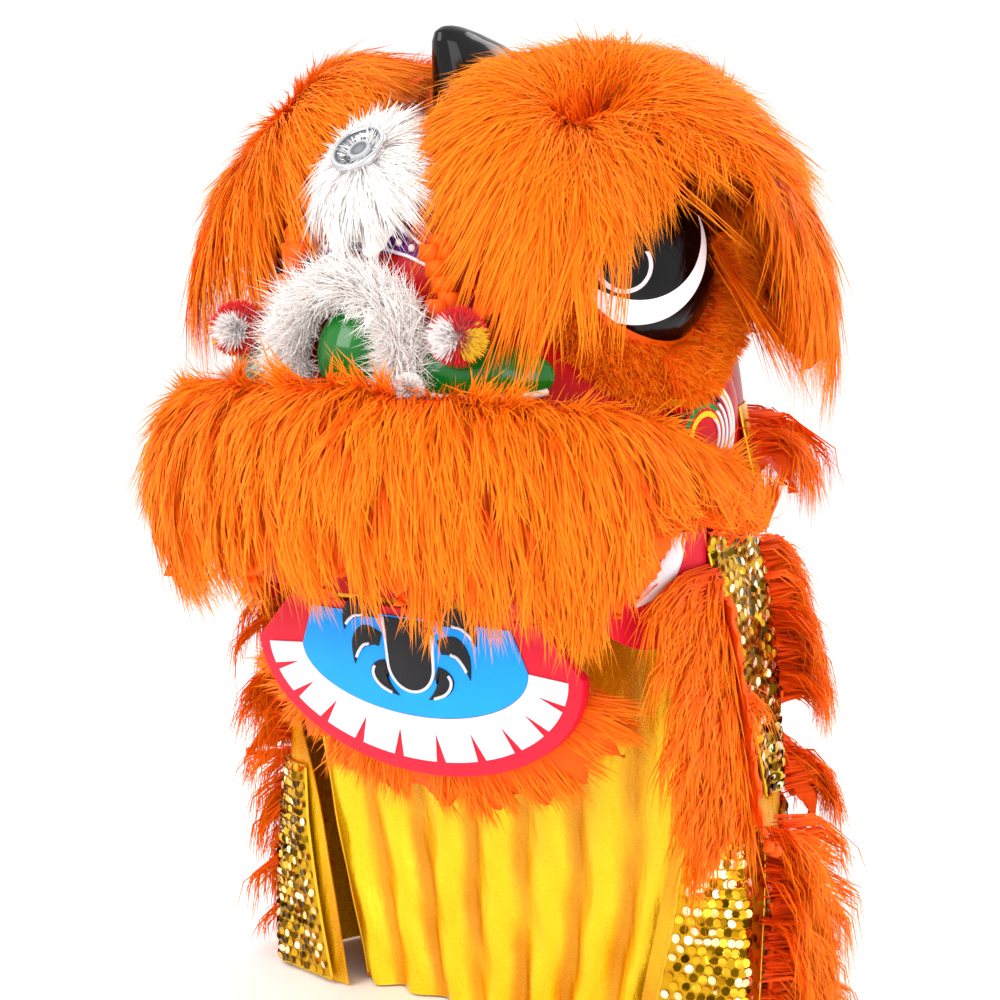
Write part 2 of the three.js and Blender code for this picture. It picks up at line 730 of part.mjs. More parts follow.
function jawBoard() {
  const board = onJaw(jawShape(0, 16, 150), 0, JAW_THICKNESS);
  const sleeves = [-1, 1].map((s) => {
    const { outer, inner, length } = SLEEVE;
    const half = length / 2;
    const tube = disc([[inner, -half], [outer, -half], [outer, half], [inner, half], [inner, -half]], 12);
    return tube.rotateZ(Math.PI / 2).translate(s * SLEEVE.x, PIN.y, PIN.z);
  });
  const webs = [-1, 1].map((s) => {
    const half = SLEEVE.length / 2;
    const shape = new THREE.Shape();
    shape.moveTo(s * SLEEVE.x - half, -SLEEVE.outer + 2);
    shape.lineTo(s * SLEEVE.x + half, -SLEEVE.outer + 2);
    shape.lineTo(s * SLEEVE.x + half, -18);
    shape.lineTo(s * SLEEVE.x - half, -18);
    shape.closePath();
    return onJaw(shape, 2, JAW_THICKNESS - 2);
  });
  return fuse(board, ...sleeves, ...webs);
}

// The teeth, a band with pointed gaps from its outer edge.
function jawTeeth() {
  const shape = new THREE.Shape();
  const start = 0.0;
  const span = Math.PI;
  const points = [];
  for (let k = 0; k <= TEETH_COUNT; k += 1) {
    const t = start + (span * k) / TEETH_COUNT;
    if (k > 0) {
      points.push(jawEdge(t - 0.045, JAW_RIM));
    }
    if (k > 0 && k < TEETH_COUNT) {
      points.push(jawEdge(t, JAW_RIM + 30));
    }
    if (k < TEETH_COUNT) {
      points.push(jawEdge(t + 0.045, JAW_RIM), jawEdge(t + span / TEETH_COUNT / 2, JAW_RIM));
    }
  }
  for (let k = 16; k >= 0; k -= 1) {
    points.push(jawEdge(start + (span * k) / 16, JAW_RIM + TEETH_WIDTH));
  }
  shape.setFromPoints(points);
  return onJaw(shape, JAW_THICKNESS + SEAT_GAP, JAW_THICKNESS + SEAT_GAP + SHEET);
}

function jawFloor() {
  const shape = jawShape(JAW_RIM + TEETH_WIDTH + 0.6, 24, 120);
  return onJaw(shape, JAW_THICKNESS + SEAT_GAP, JAW_THICKNESS + SEAT_GAP + SHEET);
}

function jawTongue() {
  const shape = new THREE.Shape();
  shape.moveTo(-30, -26);
  shape.lineTo(30, -26);
  shape.lineTo(28, -70);
  shape.absarc(0, -70, 28, 0, Math.PI, true);
  shape.closePath();
  const low = JAW_THICKNESS + 2 * SEAT_GAP + SHEET;
  return onJaw(shape, low, low + SHEET);
}

// Fur behind the lower edge of the jaw board, locks that hang below it.
function jawBeard() {
  const rings = [];
  const stations = 20;
  for (let i = 0; i <= stations; i += 1) {
    const t = 0.25 + ((Math.PI - 0.5) * i) / stations;
    const reach = i % 2 ? 34 : 62;
    const sunk = [[26, 0], [4, 0], [-reach * 0.5, 6], [-reach, 22], [8, 30], [40, 14]];
    rings.push(sunk.map(([inset, back]) => {
      const p = jawEdge(t, inset);
      return vec(p.x, back + SEAT_GAP, p.y);
    }));
  }
  const beard = loft(rings, [null, null]);
  return beard.rotateX(JAW_LEAN).translate(0, PIN.y + JAW_THICKNESS / 2, PIN.z);
}

function bib() {
  const surface = (u, v) => {
    const z = THREE.MathUtils.lerp(BIB[0].z, BIB[BIB.length - 1].z, v);
    const half_width = read(BIB, "z", "half_width", z);
    const fold = read(BIB, "z", "fold", z);
    const wave = Math.cos(2 * Math.PI * BIB_FOLDS * u + 0.6 * Math.sin(5 * u));
    const y = read(BIB, "z", "y", z) + fold * wave;
    return vec(half_width * (2 * u - 1), y, z);
  };
  return clothWall(surface, CLOTH_WALL, BIB_COLUMNS, BIB_ROWS);
}

function capeSkirt() {
  const last = CAPE[CAPE.length - 1].z;
  const surface = (u, v) => {
    const z = THREE.MathUtils.lerp(CAPE[0].z, last, v);
    const edge = read(CAPE, "z", "edge", z);
    return capePoint(THREE.MathUtils.lerp(edge, 360 - edge, u), z, 0);
  };
  return clothWall(surface, CLOTH_WALL, CAPE_COLUMNS, CAPE_ROWS);
}

// A panel on the cape between two edges, with a peaked top where the row asks for it.
function lappet(row) {
  const columns = Math.ceil((row.to - row.from) / 8);
  const out = LAYER_GAP + CLOTH_WALL - row.sunk;
  const surface = (u, v) => {
    const from = row.from + row.swing_a * v;
    const to = row.to + row.swing_b * v;
    const peak = row.peak * (1 - v) * Math.sin(Math.PI * THREE.MathUtils.clamp(u, 0, 1));
    const z = THREE.MathUtils.lerp(row.top, row.foot, v) + peak;
    return capePoint(THREE.MathUtils.lerp(from, to, u), z, out);
  };
  return clothWall(surface, CLOTH_WALL, columns, 3);
}

// A trim down the cape: a band of locks that stand out, lean sideways and drop a little.
function capeTrim(row) {
  const rings = [];
  const stations = 2 * row.locks;
  const root = LAYER_GAP + 2 * CLOTH_WALL + row.lift;
  for (let i = 0; i <= stations; i += 1) {
    const t = i / stations;
    const deg = THREE.MathUtils.lerp(row.a0, row.a1, t);
    const z = THREE.MathUtils.lerp(row.z0, row.z1, t);
    const full = i % 2 ? 0.72 : 1;
    const foot = (across) => capePoint(deg + across, z, root + 0.4);
    const along = foot(1).sub(foot(-1)).normalize();
    const outward = along.clone().cross(vec(0, 0, 1));
    const at = (across, out, drop) => {
      const sideways = (across + row.lean * out * 1.3) * full;
      const tip = foot(0).addScaledVector(along, sideways);
      return tip.addScaledVector(outward, out * full).setZ(z - drop);
    };
    rings.push([
      foot(-6),
      at(-18, 22, 0),
      at(-12, row.reach * 0.7, row.reach * 0.2),
      at(8, row.reach * 0.62, row.reach * 0.3),
      at(18, 18, row.reach * 0.1),
      foot(6),
    ]);
  }
  return loft(rings, [null, null]);
}

// A trim round the cape or collar at one height.
function roundTrim(pointAt, row) {
  const { from, to, z, reach, locks, lift } = row;
  const rings = [];
  const stations = 2 * locks;
  for (let i = 0; i <= stations; i += 1) {
    const deg = THREE.MathUtils.lerp(from, to, i / stations);
    const length = reach * (i % 2 ? 0.66 : 1);
    const at = (drop, out) => pointAt(deg, z, lift + out).setZ(z - drop);
    const front = [at(-8, 0.4), at(-14, 26), at(length * 0.3, 46), at(length, 40)];
    rings.push([...front, at(length * 0.4, 14), at(6, 3)]);
  }
  return loft(rings, [null, null]);
}

function collar() {
  const surface = (u, v) => {
    const z = THREE.MathUtils.lerp(COLLAR.top, COLLAR.foot, v);
    const deg = THREE.MathUtils.lerp(COLLAR.from, COLLAR.to, u);
    const gather = COLLAR.gather * v * Math.cos(2 * Math.PI * 10 * u);
    return shellPoint(deg, z, SEAT_GAP + 14 * v * v + gather + COLLAR.gather * v);
  };
  return clothWall(surface, CLOTH_WALL, COLLAR.columns, 2);
}

const seat = shellForm(SEAT_GAP);
const middle_gap = box(-400, 54, -500, 500, 100, 600);
const arch_room = noseArch(FUR_GAP);
const eye_room = eye(FUR_GAP);
const rim_room = eyeRim(FUR_GAP);
const tuft_form = disc([[0, -60], [96, -60], [96, 0], [60, 60], [0, 60]], 14);
const tuft_room = aim(tuft_form, MIRROR_FOOT, MIRROR_AXIS);
const pompom_room = pompom(POMPOM_CENTRE, POMPOM_RADIUS, SEAT_GAP);
const lip_ball_room = pompom(LIP_POMPOM_CENTRE, LIP_POMPOM_RADIUS, FUR_GAP);
const cheek_room = ellipsoid(CHEEK_CENTRE, CHEEK_RADII, FUR_GAP, 14, 10);
const lip_rooms = [lip_ball_room, cheek_room];
const cheek_front = box(200, 300, -200, -58, 0, 300);

const arch = cut(noseArch(0), seat, ellipsoid(NOSE_CENTRE, NOSE_RADII, SEAT_GAP, 16, 10));
const wing = cut(noseWing(), seat, arch_room, pompom_room);
const lip = cutTo(FUR_FINENESS, lipFur(), ...lip_rooms, ...lip_rooms.map(mirrored));
const brow = cutTo(FUR_FINENESS, furDome(BROW, 0), middle_gap, partingSlab(1), eye_room, rim_room, tuft_room);
const temple = cutTo(FUR_FINENESS, furDome(TEMPLE, 0), middle_gap, partingSlab(-1), eye_room, rim_room);
const cheek = cut(ellipsoid(CHEEK_CENTRE, CHEEK_RADII, 0, 14, 10), seat, rim_room, cheek_front);

const pieces = [
  ["head_shell", headShell(), "red"],
  ["horn", cut(horn(), seat), "black"],
  ["mirror", mirrorDisc(), "chrome"],
  ["mirror_fur", cut(mirrorFur(0), seat, arch_room), "white_fur"],
  ["nose_ball", cut(ellipsoid(NOSE_CENTRE, NOSE_RADII, 0, 16, 10), seat), "green"],
  ["nose_fur", arch, "white_fur"],
  ["lip_fur", lip, "orange_fur"],
  ["collar", collar(), "satin"],
  ["ruff", roundTrim(shellPoint, RUFF), "orange_fur"],
  ["cape_skirt", capeSkirt(), "satin"],
  ["bib", bib(), "satin"],
  ["bib_rail", rod(RAIL), "steel"],
  ["jaw_pin", rod(PIN), "steel"],
  ["jaw_board", jawBoard(), "red"],
  ["jaw_teeth", jawTeeth(), "white"],
  ["jaw_floor", jawFloor(), "blue"],
  ["jaw_tongue", jawTongue(), "black"],
  ["jaw_beard", jawBeard(), "orange_fur"],
  ["trim_back", roundTrim(capePoint, BACK_TRIM), "orange_fur"],
];
const pairs = [
  ["brow_fur", brow, "orange_fur"],
  ["temple_fur", temple, "orange_fur"],
  ["eye", cut(eye(0), seat), "black"],
  ["eye_rim", cut(eyeRim(0), seat), "orange_fur"],
  ["nose_wing", wing, "green"],
  ["nose_pompom", pompom(POMPOM_CENTRE, POMPOM_RADIUS, 0), "pompom"],
  ["lip_pompom", pompom(LIP_POMPOM_CENTRE, LIP_POMPOM_RADIUS, 0), "white_fur"],
  ["cheek", cheek, "red"],
  ["mouth_side", mouthSide(), "red"],
  ["fang", fang(), "white"],
  ...LAPPETS.map((row) => [row.name, lappet(row), "sequin"]),
  ...TRIMS.map((row) => [row.name, capeTrim(row), "orange_fur"]),
];
for (const [name, geometry, colour] of pairs) {
  pieces.push([`${name}_right`, geometry, colour], [`${name}_left`, mirrored(geometry), colour]);
}
for (const row of BACK_LAPPETS) {
  pieces.push([row.name, lappet(row), "sequin"]);
}

const head = new THREE.Group();
head.name = "lion_dance_head";
for (const [name, geometry, colour] of pieces) {
  const [color, roughness, metalness] = COLOURS[colour];
  const mesh = new THREE.Mesh(geometry, new THREE.MeshStandardMaterial({ color, roughness, metalness }));
  mesh.name = name;
  head.add(mesh);
}
export default head;
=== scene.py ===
# %% [markdown]
# # A lion dance head, dressed
#
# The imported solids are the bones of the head: a hollow shell, a hinged jaw, a cape and many
# blocks that stand for fur. This lesson puts the real surfaces on them: strand after strand of
# long orange fur, painted and lacquered faces, satin with folds, and rows of sequins.
# All sizes below are in millimetres, and become metres at the moment a mesh is made.

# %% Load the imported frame
import contextlib
import math

import bpy
import numpy as np
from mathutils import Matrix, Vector


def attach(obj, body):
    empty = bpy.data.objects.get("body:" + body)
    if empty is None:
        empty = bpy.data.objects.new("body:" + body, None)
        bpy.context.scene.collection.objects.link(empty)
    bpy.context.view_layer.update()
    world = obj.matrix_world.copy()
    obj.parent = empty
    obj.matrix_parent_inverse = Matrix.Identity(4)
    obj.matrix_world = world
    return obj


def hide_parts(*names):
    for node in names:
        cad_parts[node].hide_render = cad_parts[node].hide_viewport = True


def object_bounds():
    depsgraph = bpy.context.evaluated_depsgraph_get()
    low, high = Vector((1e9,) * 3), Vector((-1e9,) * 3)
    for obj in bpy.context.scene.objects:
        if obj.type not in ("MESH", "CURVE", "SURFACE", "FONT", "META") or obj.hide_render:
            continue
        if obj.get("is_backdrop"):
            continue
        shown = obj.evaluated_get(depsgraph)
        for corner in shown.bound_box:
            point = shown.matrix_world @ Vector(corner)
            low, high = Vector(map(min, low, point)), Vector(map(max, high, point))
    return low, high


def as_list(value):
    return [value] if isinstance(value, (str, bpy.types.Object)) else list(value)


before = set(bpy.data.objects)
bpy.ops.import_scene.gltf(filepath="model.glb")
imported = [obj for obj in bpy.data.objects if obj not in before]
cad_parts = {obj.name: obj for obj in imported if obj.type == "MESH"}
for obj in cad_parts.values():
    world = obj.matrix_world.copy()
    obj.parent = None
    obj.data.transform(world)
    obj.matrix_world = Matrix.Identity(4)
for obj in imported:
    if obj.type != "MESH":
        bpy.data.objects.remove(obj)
CAD_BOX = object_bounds()
MM = 0.001
bpy.ops.object.select_all(action="DESELECT")
print("solids in the frame:", len(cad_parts))

# %% [markdown]
# ## Camera
#
# The head is seen from a little to its left and slightly above, from about two metres away.
# A long lens at that distance keeps the far brow nearly as large as the near one.

# %% Camera
CAMERA_AZIMUTH = math.radians(36)
CAMERA_ELEVATION = math.radians(7)
CAMERA_DISTANCE = 2.2
LENS, SENSOR_WIDTH = 79.2, 36
LOOK_AT = Vector((0, 0, 0.06))

toward_camera = Vector((
    math.sin(CAMERA_AZIMUTH) * math.cos(CAMERA_ELEVATION),
    -math.cos(CAMERA_AZIMUTH) * math.cos(CAMERA_ELEVATION),
    math.sin(CAMERA_ELEVATION),
))
bpy.ops.object.camera_add(location=LOOK_AT + toward_camera * CAMERA_DISTANCE)
camera = bpy.context.object
camera.rotation_euler = (-toward_camera).to_track_quat("-Z", "Y").to_euler()
camera.data.lens = LENS
camera.data.sensor_width = SENSOR_WIDTH
camera.data.dof.use_dof = False
bpy.context.scene.camera = camera
print("camera at", [round(c, 3) for c in camera.location])

# %% [markdown]
# ## Light and floor
#
# Fur looks soft only in broad light, so the room itself is bright. One large window of light
# stands in front, above and to the left, a weaker one fills the right, and a smaller one behind
# gives the tips a rim. The Standard view keeps the dyes as strong as they are.

# %% Light and floor
ROOM_LIGHT = 1.15
FLOOR_SIZE, FLOOR_GAP = 24, 0.002
LAMPS = [  # name, place, size, watts
    ("key", (-0.9, -2.3, 1.5), 1.6, 42),
    ("fill", (2.3, -1.6, 0.2), 1.8, 26),
    ("rim", (0.9, 2.0, 1.9), 1.4, 30),
]
for lamp_name, place, size, watts in LAMPS:
    bpy.ops.object.light_add(type="AREA", location=place)
    lamp = bpy.context.object
    lamp.name = lamp_name
    lamp.data.size = size
    lamp.data.energy = watts
    lamp.rotation_euler = (LOOK_AT - Vector(place)).to_track_quat("-Z", "Y").to_euler()
scene = bpy.context.scene
scene.view_settings.view_transform = "Standard"
room = bpy.data.worlds.new("bright_room")
room.use_nodes = True
room.node_tree.nodes["Background"].inputs["Color"].default_value = (1, 1, 1, 1)
room.node_tree.nodes["Background"].inputs["Strength"].default_value = ROOM_LIGHT
scene.world = room

bpy.ops.mesh.primitive_plane_add(size=FLOOR_SIZE, location=(0, 0, CAD_BOX[0][2] - FLOOR_GAP))
floor = bpy.context.object
floor.name = "floor"
floor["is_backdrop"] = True
print("lamps:", len(LAMPS), "floor at", round(floor.location.z, 3))

# %% [markdown]
# ## Writing finishes as sums
#
# A finish is a small network of nodes. Wiring it by hand takes many lines, so one class wraps a
# socket and lets it be added, multiplied and compared like a number, and a second one holds the
# material and makes every other node through one method.

# %% Sockets that can be added and multiplied
class Wire:
    """One output socket that takes part in plain arithmetic."""

    def __init__(self, finish, socket):
        self.finish = finish
        self.socket = socket

    def other(self, index):
        return Wire(self.finish, self.socket.node.outputs[index])

    def math(self, operation, *values):
        slots = dict(enumerate(values))
        return self.finish.node("Math", {"operation": operation}, slots)

    def __add__(self, value):
        return self.math("ADD", self, value)

    def __sub__(self, value):
        return self.math("SUBTRACT", self, value)

    def __rsub__(self, value):
        return self.math("SUBTRACT", value, self)

    def __mul__(self, value):
        return self.math("MULTIPLY", self, value)

    def __truediv__(self, value):
        return self.math("DIVIDE", self, value)

    def __pow__(self, value):
        return self.math("POWER", self, value)

    def __abs__(self):
        return self.math("ABSOLUTE", self)

    def __gt__(self, value):
        return self.math("GREATER_THAN", self, value)

    def __lt__(self, value):
        return self.math("LESS_THAN", self, value)

    __radd__ = __add__
    __rmul__ = __mul__

    def soft(self, low, high):
        """0 below low and 1 above high, with a smooth step between."""
        settings = {"interpolation_type": "SMOOTHSTEP"}
        slots = {"Value": self, "From Min": low, "From Max": high}
        return self.finish.node("MapRange", settings, slots)


class Finish:
    """A material with one principled shader, built node by node."""

    def __init__(self, name, **constants):
        self.material = bpy.data.materials.new(name)
        self.material.use_nodes = True
        self.tree = self.material.node_tree
        self.shader = self.tree.nodes["Principled BSDF"]
        for key, value in constants.items():
            self.shader.inputs[key.replace("_", " ")].default_value = value

    def plug(self, socket, value):
        if isinstance(value, Wire):
            self.tree.links.new(value.socket, socket)
        else:
            socket.default_value = value

    def node(self, kind, settings=None, sockets=None, out=0):
        made = self.tree.nodes.new("ShaderNode" + kind)
        for key, value in (settings or {}).items():
            if key == "stops":
                self.ramp(made.color_ramp, value)
            else:
                setattr(made, key, value)
        for key, value in (sockets or {}).items():
            self.plug(made.inputs[key], value)
        return Wire(self, made.outputs[out])

    def ramp(self, ramp, stops):
        while len(ramp.elements) < len(stops):
            ramp.elements.new(1)
        for element, (place, colour) in zip(ramp.elements, stops):
            element.position = place
            element.color = (*colour, 1)

    def feed(self, socket, value):
        self.plug(self.shader.inputs[socket], value)

    def place(self):
        return self.node("TexCoord", out=3)

    def mix(self, share, first, second):
        first, second = [c if isinstance(c, Wire) else (*c, 1) for c in (first, second)]
        sockets = {0: share, 6: first, 7: second}
        return self.node("Mix", {"data_type": "RGBA"}, sockets, out=2)

    def noise(self, place, scale, detail=2):
        return self.node("TexNoise", None, {"Vector": place, "Scale": scale, "Detail": detail})

    def bump(self, height, strength, distance):
        sockets = {"Height": height, "Strength": strength, "Distance": distance}
        self.feed("Normal", self.node("Bump", None, sockets))


def dye(red, green, blue):
    """A colour as a painter reads it, 0 to 255, turned to light."""
    return tuple((c / 255) ** 2.2 for c in (red, green, blue))


floor_finish = Finish("floor_paper", Roughness=0.9)
grain = floor_finish.noise(floor_finish.place(), 3)
floor_finish.feed("Base Color", floor_finish.mix(grain, dye(248, 248, 248), dye(255, 255, 255)))
floor.data.materials.append(floor_finish.material)
print("sockets can be added")

# %% [markdown]
# ## Fur finishes
#
# The fur is painted darker and redder at the skin, as painted shade where strands shade each
# other, and lighter at the tips. Each strand carries a small map: one direction is a number of its
# own, the other runs from root to tip. The finish reads that map, so no two strands have quite the
# same dye.

# %% Fur finishes
def fur_finish(name, root, middle, tip, spread):
    fur = Finish(name, Specular_IOR_Level=0.18)
    parts = fur.node("SeparateXYZ", None, {0: fur.node("UVMap", {"uv_map": "OFBake"})})
    own, along = parts, parts.other(1)
    # The ramp is the dye, with painted shade at its root end.
    dye_and_root_shade = fur.node("ValToRGB", {"stops": [(0, root), (0.45, middle), (1, tip)]}, {0: along})
    shade = fur.mix(own * spread, (1, 1, 1), (0.45, 0.3, 0.25))
    sockets = {0: 1.0, 6: dye_and_root_shade, 7: shade}
    colour = fur.node("Mix", {"data_type": "RGBA", "blend_type": "MULTIPLY"}, sockets, out=2)
    fur.feed("Base Color", colour)
    fur.feed("Roughness", 0.5 + own * 0.25)
    return fur.material


ORANGE_FUR = fur_finish("orange_fur", dye(250, 78, 0), dye(255, 112, 0), dye(255, 142, 14), 0.17)
DEEP_FUR = fur_finish("deep_orange_fur", dye(250, 74, 0), dye(255, 106, 0), dye(255, 136, 12), 0.17)
WHITE_FUR = fur_finish("white_fur", dye(222, 212, 208), dye(248, 243, 240), dye(255, 253, 250), 0.14)
print("fur finishes:", ORANGE_FUR.name, DEEP_FUR.name, WHITE_FUR.name)

# %% [markdown]
# ## The form under the fur
#
# The shell is a stack of squarish rings, and the cape hangs as another stack below it. Every lock
# starts on one of these, so the rings come first: one function gives a point at an angle round
# the head, a height, and a distance off the surface.

# %% Rings of the shell and of the cape
SQUARENESS = 2.3
SHELL_ROWS = np.array([  # height, half width, front, back
    (0, 232, 252, 215), (80, 238, 262, 226), (160, 233, 246, 230), (235, 217, 214, 226),
    (300, 194, 208, 210), (360, 160, 190, 176), (405, 112, 150, 125), (430, 52, 78, 60),
], float)
CAPE_ROWS = np.array([
    (-470, 287, 34, 262), (-360, 283, 36, 259), (-250, 277, 40, 255),
    (-100, 262, 50, 246), (52, 236.6, 60, 222.9),
], float)


def curve(table_x, table_y, x):
    """A smooth line through a table, straight on beyond its ends."""
    slope = np.gradient(table_y, table_x)
    i = np.clip(np.searchsorted(table_x, x) - 1, 0, len(table_x) - 2)
    step = table_x[i + 1] - table_x[i]
    t = np.clip((x - table_x[i]) / step, 0, 1)
    a, b = table_y[i], table_y[i + 1]
    bend = (1 - t) * (slope[i] * step - (b - a)) - t * (slope[i + 1] * step - (b - a))
    return a + (b - a) * t + t * (1 - t) * bend


def ring(rows, degrees, z, out):
    degrees, z, out = np.broadcast_arrays(*(np.asarray(v, float) for v in (degrees, z, out)))
    half_width, front, back = (curve(rows[:, 0], rows[:, k], z) + out for k in (1, 2, 3))
    s, c = np.sin(np.radians(degrees)), np.cos(np.radians(degrees))
    x = half_width * np.sign(s) * np.abs(s) ** (2 / SQUARENESS)
    y = np.where(c > 0, -front, back) * np.abs(c) ** (2 / SQUARENESS)
    return np.stack([x, y, z], -1)


def unit(vectors):
    return vectors / np.maximum(np.linalg.norm(vectors, axis=-1, keepdims=True), 1e-9)


print("front of the shell at eye height:", ring(SHELL_ROWS, 0, 300, 0).round(1))

# %% [markdown]
# ## Strands
#
# Fur grows in locks: a few dozen hairs that start side by side and lean together at the tip.
# Particle hair would need its own renderer and is lost on export, so each hair is a real ribbon
# of three faces that narrows to a point. A lock is given as one line from root to tip, and its
# hairs are that line moved sideways, shortened a little and waved. All hairs of a piece are laid
# out as arrays at once, which takes a moment instead of a minute.

# %% Strands from locks
STRAND_POINTS = 4  # points along a long hair
SHORT_POINTS = 3  # points along the hairs of short pile and of yarn


def comb(paths, outward, per_lock, spread, rng, tip_share=0.35, fluff=6.0):
    """Strands (n, points, 3) that follow the lock lines (locks, points, 3)."""
    locks, points, _ = paths.shape
    across = unit(np.cross(np.gradient(paths, axis=1), outward))
    lock = np.repeat(np.arange(locks), per_lock)[:, None]
    n = len(lock)
    t = np.linspace(0, 1, STRAND_POINTS) * rng.uniform(0.7, 1.04, (n, 1))
    step = t * (points - 1)
    i = np.clip(step.astype(int), 0, points - 2)
    f = (step - i)[..., None]
    line = paths[lock, i] * (1 - f) + paths[lock, i + 1] * f
    width = spread * (1 - (1 - tip_share) * t ** 0.8)
    place = np.clip(rng.normal(0, 0.5, (n, 1)), -1.3, 1.3)
    lift = (0.35 - 0.6 * place ** 2 - 0.5 * rng.random((n, 1))) * width
    strands = line + across[lock, i] * (place * width)[..., None] + outward[lock, i] * lift[..., None]
    strands += rng.normal(0, fluff, (n, 1, 3)) * t[..., None] ** 2
    return strands, outward[lock[:, 0], points // 2]


def ribbons(strands, facing, width, rng, own=None):
    """Vertices, faces and maps of one narrowing ribbon for every strand."""
    n, k, _ = strands.shape
    along = unit(np.gradient(strands, axis=1))
    turned = unit(facing + rng.normal(0, 0.35, (n, 3)))
    across = unit(np.cross(along, turned[:, None, :]))
    t = np.linspace(0, 1, k)
    half = width / 2 * np.interp(t, [0, 0.2, 0.6, 1], [0.8, 1, 0.85, 0.2])
    half = half[None, :, None] * rng.uniform(0.7, 1.25, (n, 1, 1))
    left, right = strands - across * half, strands + across * half
    body = np.stack([left[:, :-1], right[:, :-1]], 2).reshape(n, -1, 3)
    vertices = np.concatenate([body, strands[:, -1:]], 1)
    each = 2 * (k - 1) + 1
    quads = np.array([(2 * j, 2 * j + 1, 2 * j + 3, 2 * j + 2) for j in range(k - 2)])
    last = np.array([2 * (k - 2), 2 * (k - 2) + 1, 2 * (k - 1)])
    corners = np.concatenate([quads.ravel(), last])
    loops = (np.arange(n)[:, None] * each + corners).ravel()
    sizes = np.tile([4] * (k - 2) + [3], n)
    root_to_tip = np.concatenate([np.repeat(t[:-1], 2), [1]])[corners]
    own = rng.random(n) if own is None else own
    own = np.broadcast_to(own[:, None], (n, len(corners)))
    maps = np.stack([own, np.broadcast_to(root_to_tip, own.shape)], -1).reshape(-1, 2)
    return vertices.reshape(-1, 3), loops, sizes, maps


def mesh_from_arrays(name, vertices, loops, sizes, maps):
    mesh = bpy.data.meshes.new(name)
    mesh.vertices.add(len(vertices))
    mesh.vertices.foreach_set("co", (vertices * MM).astype(np.float32).ravel())
    mesh.loops.add(len(loops))
    mesh.loops.foreach_set("vertex_index", loops.astype(np.int32))
    mesh.polygons.add(len(sizes))
    mesh.polygons.foreach_set("loop_start", (np.cumsum(sizes) - sizes).astype(np.int32))
    mesh.polygons.foreach_set("use_smooth", np.ones(len(sizes), bool))
    mesh.uv_layers.new(name="OFBake").data.foreach_set("uv", maps.astype(np.float32).ravel())
    mesh.update(calc_edges=True)
    made = bpy.data.objects.new(name, mesh)
    bpy.context.scene.collection.objects.link(made)
    return made


print("a strand has", 2 * (STRAND_POINTS - 1) - 1, "triangles")

# %% [markdown]
# ## The woolly ground
#
# Between strands the eye must meet more wool, never the bare solid. The ground of each coat is
# a copy of its solid: welded, remeshed to an even skin, smoothed and drawn in by a few
# millimetres. It takes the root end of the dye, with its painted shade, and is joined to its strands.

# %% The ground of a coat
WELD = 0.0001
VOXEL, SMOOTHING = 7, 6
# The ground's spot near the root end of the ramp carries the painted shade of the roots.
GROUND_DYE_AND_SHADE = (0.5, 0.22)  # its spot in the map of a strand: own number, share from root to tip


def only(*objects):
    bpy.ops.object.select_all(action="DESELECT")
    for o in objects:
        o.select_set(True)
    bpy.context.view_layer.objects.active = objects[0]


def join(first, *others):
    """Several meshes as one, which keeps the name of the first."""
    only(first, *others)
    bpy.ops.object.join()
    return first


@contextlib.contextmanager
def edit_mode(piece):
    """Edits a piece with all of it selected."""
    only(piece)
    bpy.ops.object.mode_set(mode="EDIT")
    bpy.ops.mesh.select_all(action="SELECT")
    yield
    bpy.ops.object.mode_set(mode="OBJECT")


def apply_all(piece):
    only(piece)
    for modifier in list(piece.modifiers):
        bpy.ops.object.modifier_apply(modifier=modifier.name)


def copy_of(node, name):
    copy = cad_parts[node].copy()
    copy.data = copy.data.copy()
    copy.name = name
    for key in list(copy.keys()):
        del copy[key]
    copy.parent = None
    bpy.context.scene.collection.objects.link(copy)
    with edit_mode(copy):
        bpy.ops.mesh.remove_doubles(threshold=WELD)
    return copy


def ground(node, drawn_in):
    wool = copy_of(node, node + "_ground")
    remesh = wool.modifiers.new("even", "REMESH")
    remesh.mode = "VOXEL"
    remesh.voxel_size = VOXEL * MM
    smooth = wool.modifiers.new("soft", "SMOOTH")
    smooth.iterations = SMOOTHING
    apply_all(wool)
    with edit_mode(wool):
        bpy.ops.transform.shrink_fatten(value=-drawn_in * MM)
    bpy.ops.object.shade_smooth()
    mesh = wool.data
    for layer in list(mesh.uv_layers):
        mesh.uv_layers.remove(layer)
    maps = np.tile(GROUND_DYE_AND_SHADE, len(mesh.loops)).astype(np.float32)
    mesh.uv_layers.new(name="OFBake").data.foreach_set("uv", maps)
    return wool


def trim_ground(wool, clear):
    """Cuts away the ground where strands were left out."""
    only(wool)
    bpy.ops.object.mode_set(mode="EDIT")
    bpy.ops.mesh.select_mode(type="VERT")
    bpy.ops.mesh.select_all(action="DESELECT")
    bpy.ops.object.mode_set(mode="OBJECT")
    spots = np.empty(len(wool.data.vertices) * 3, np.float32)
    wool.data.vertices.foreach_get("co", spots)
    wool.data.vertices.foreach_set("select", clear(spots.reshape(-1, 3) / MM))
    bpy.ops.object.mode_set(mode="EDIT")
    bpy.ops.mesh.delete(type="VERT")
    bpy.ops.object.mode_set(mode="OBJECT")


def triangles(piece):
    piece.data.calc_loop_triangles()
    return len(piece.data.loop_triangles)


def dress(piece, node, slot, material, body="head"):
    """The piece takes a finish, moves with a body and stands for a node, if it is not an addition."""
    piece.data.materials.clear()
    piece.data.materials.append(material)
    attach(piece, body)
    if node is not None:
        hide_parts(node)
    print(f"{piece.name}: {triangles(piece)} triangles")
    return piece


def coat(node, strands, facing, width, rng, slot, material,
         drawn_in=4, body="head", own=None, clear=None):
    """A fur piece: strands over the woolly ground of their solid."""
    wool = ground(node, drawn_in)
    if clear is not None:
        trim_ground(wool, clear)
    hair = mesh_from_arrays(node + "_coat", *ribbons(strands, facing, width, rng, own))
    for o in (wool, hair):
        o.data.materials.clear()
    return dress(join(hair, wool), node, slot, material, body)


